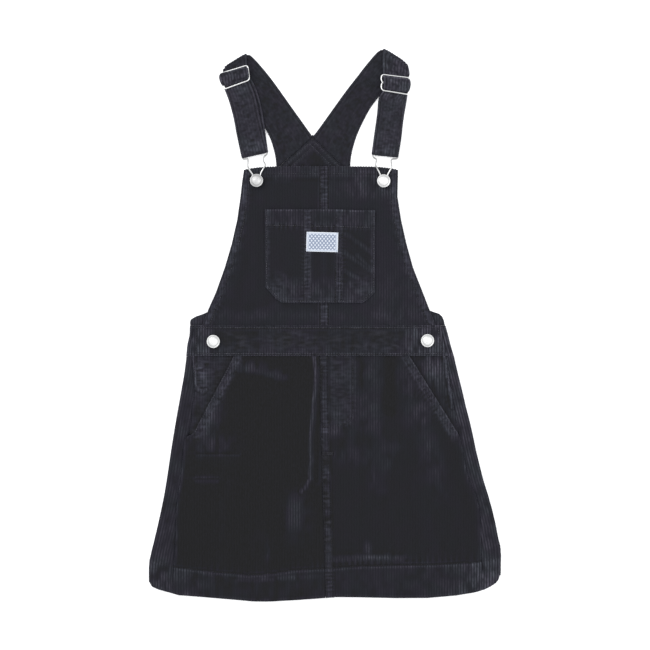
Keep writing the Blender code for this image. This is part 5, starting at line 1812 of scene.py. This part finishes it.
# %% Sliders
BAR_RADIUS, SLIDER_TONE, CORNER_CUT = 0.86, 0.95, 3
Slider = namedtuple("Slider", "top_left top_right bottom_right bottom_left pinch")
SLIDERS = {
    "left": Slider((-124.4, 307.5, 6.9), (-94.4, 316.6, 7.5), (-91.8, 298.5, 9.35), (-122.6, 287.4, 8.7), 0),
    "right": Slider((68.9, 305.4, 7.5), (103.2, 301.3, 6.9), (101.8, 280.9, 8.7), (68.9, 286.2, 9.35), 1.3),
}

def slider_knots(spec):
    """The slider's round: each corner cut by a small curve, and its short sides pinched towards the bar."""
    p = np.array(spec[:4])
    middle, knots = p.mean(axis=0), []
    for k in range(4):
        after = p[(k + 1) % 4]
        to_last, to_next = p[k - 1] - p[k], after - p[k]
        to_last, to_next = (CORNER_CUT * way / np.linalg.norm(way) for way in (to_last, to_next))
        knots += [p[k] + to_last, p[k] + 0.3 * (to_last + to_next), p[k] + to_next]
        if k in (1, 3):
            half = (p[k] + after) / 2
            inward = spec.pinch * (middle - half) / np.linalg.norm(middle - half)
            knots += [half + 0.3 * (p[k] - half), half + inward, half + 0.3 * (after - half)]
        else:
            knots += [p[k] + (after - p[k]) * share for share in (0.3, 0.5, 0.7)]
    return knots


for side, spec in SLIDERS.items():
    round_wire = tube(closed_curve(slider_knots(spec), 160), WIRE_RADIUS, True)
    around("wire_slider_" + side, round_wire, True, nickel, SLIDER_TONE, "slider_" + side)
    corner = np.array(spec[:4])
    start, end = (corner[0] + corner[3]) / 2, (corner[1] + corner[2]) / 2
    inset = spec.pinch * (end - start) / np.linalg.norm(end - start)
    radii = np.concatenate([[0.02], np.full(10, BAR_RADIUS), [0.02]])
    bar = tube(np.linspace(start + inset, end - inset, radii.size), radii, False)
    around("slider_bar_" + side, bar, False, nickel, SLIDER_TONE)
print("sliders:", ", ".join("wire_slider_" + side for side in SLIDERS))

# %% [markdown]
# ## Floor, light and camera
#
# A pale floor, a wide soft light at the upper left with a weaker one at the right, an even pale surround, and
# a camera that looks straight down with a long lens, so that the dress is seen almost without perspective.

# %% Stage
FLOOR_REACH, FLOOR_LEVEL = 1500, -0.05
pale, _, _ = material(
    "pale floor",
    Base_Color=(0.95, 0.95, 0.95, 1),
    Roughness=0.9,
    Specular_IOR_Level=0.1,
    Emission_Color=(1, 1, 1, 1),
    Emission_Strength=0.3,
)
floor_plan = FLOOR_REACH * np.array([[-1, -1], [1, -1], [1, 1], [-1, 1]])
floor_points = np.column_stack([floor_plan, np.full(4, FLOOR_LEVEL)])
floor = put_mesh("floor", floor_points, np.array([[0, 1, 2], [0, 2, 3]]), pale)

world = bpy.data.worlds.new("surround")
bpy.context.scene.world = world
world.use_nodes = True
surround = world.node_tree.nodes["Background"].inputs
surround["Color"].default_value = (0.97, 0.98, 1, 1)
surround["Strength"].default_value = 1.05


def soft_light(name, place, size, power):
    """A square soft light that faces the dress's middle. Its place and size are in metres, power in watts."""
    lamp = bpy.data.lights.new(name, "AREA")
    lamp.size = size
    lamp.energy = power
    made = bpy.data.objects.new(name, lamp)
    bpy.context.scene.collection.objects.link(made)
    made.location = place
    made.rotation_euler = (-Vector(place)).to_track_quat("-Z", "Y").to_euler()


soft_light("window", place=(-1.1, 0.9, 1.6), size=1.2, power=19)
soft_light("fill", place=(1.2, 0.2, 1.1), size=1, power=6.8)

# The camera's distance, from half the dress's thickness up, is the width in view times lens over sensor.
VIEW_WIDTH, LENS, SENSOR, HALF_THICKNESS = 0.793, 100, 36, 0.005
camera_data = bpy.data.cameras.new("camera")
camera_data.lens = LENS
camera_data.sensor_width = SENSOR
camera = bpy.data.objects.new("camera", camera_data)
bpy.context.scene.collection.objects.link(camera)
camera.location = (0.0001, 0.0001, VIEW_WIDTH * LENS / SENSOR + HALF_THICKNESS)
bpy.context.scene.camera = camera
bpy.context.scene.view_settings.view_transform = "Standard"
print("the camera looks down from", round(camera.location.z, 2), "m")
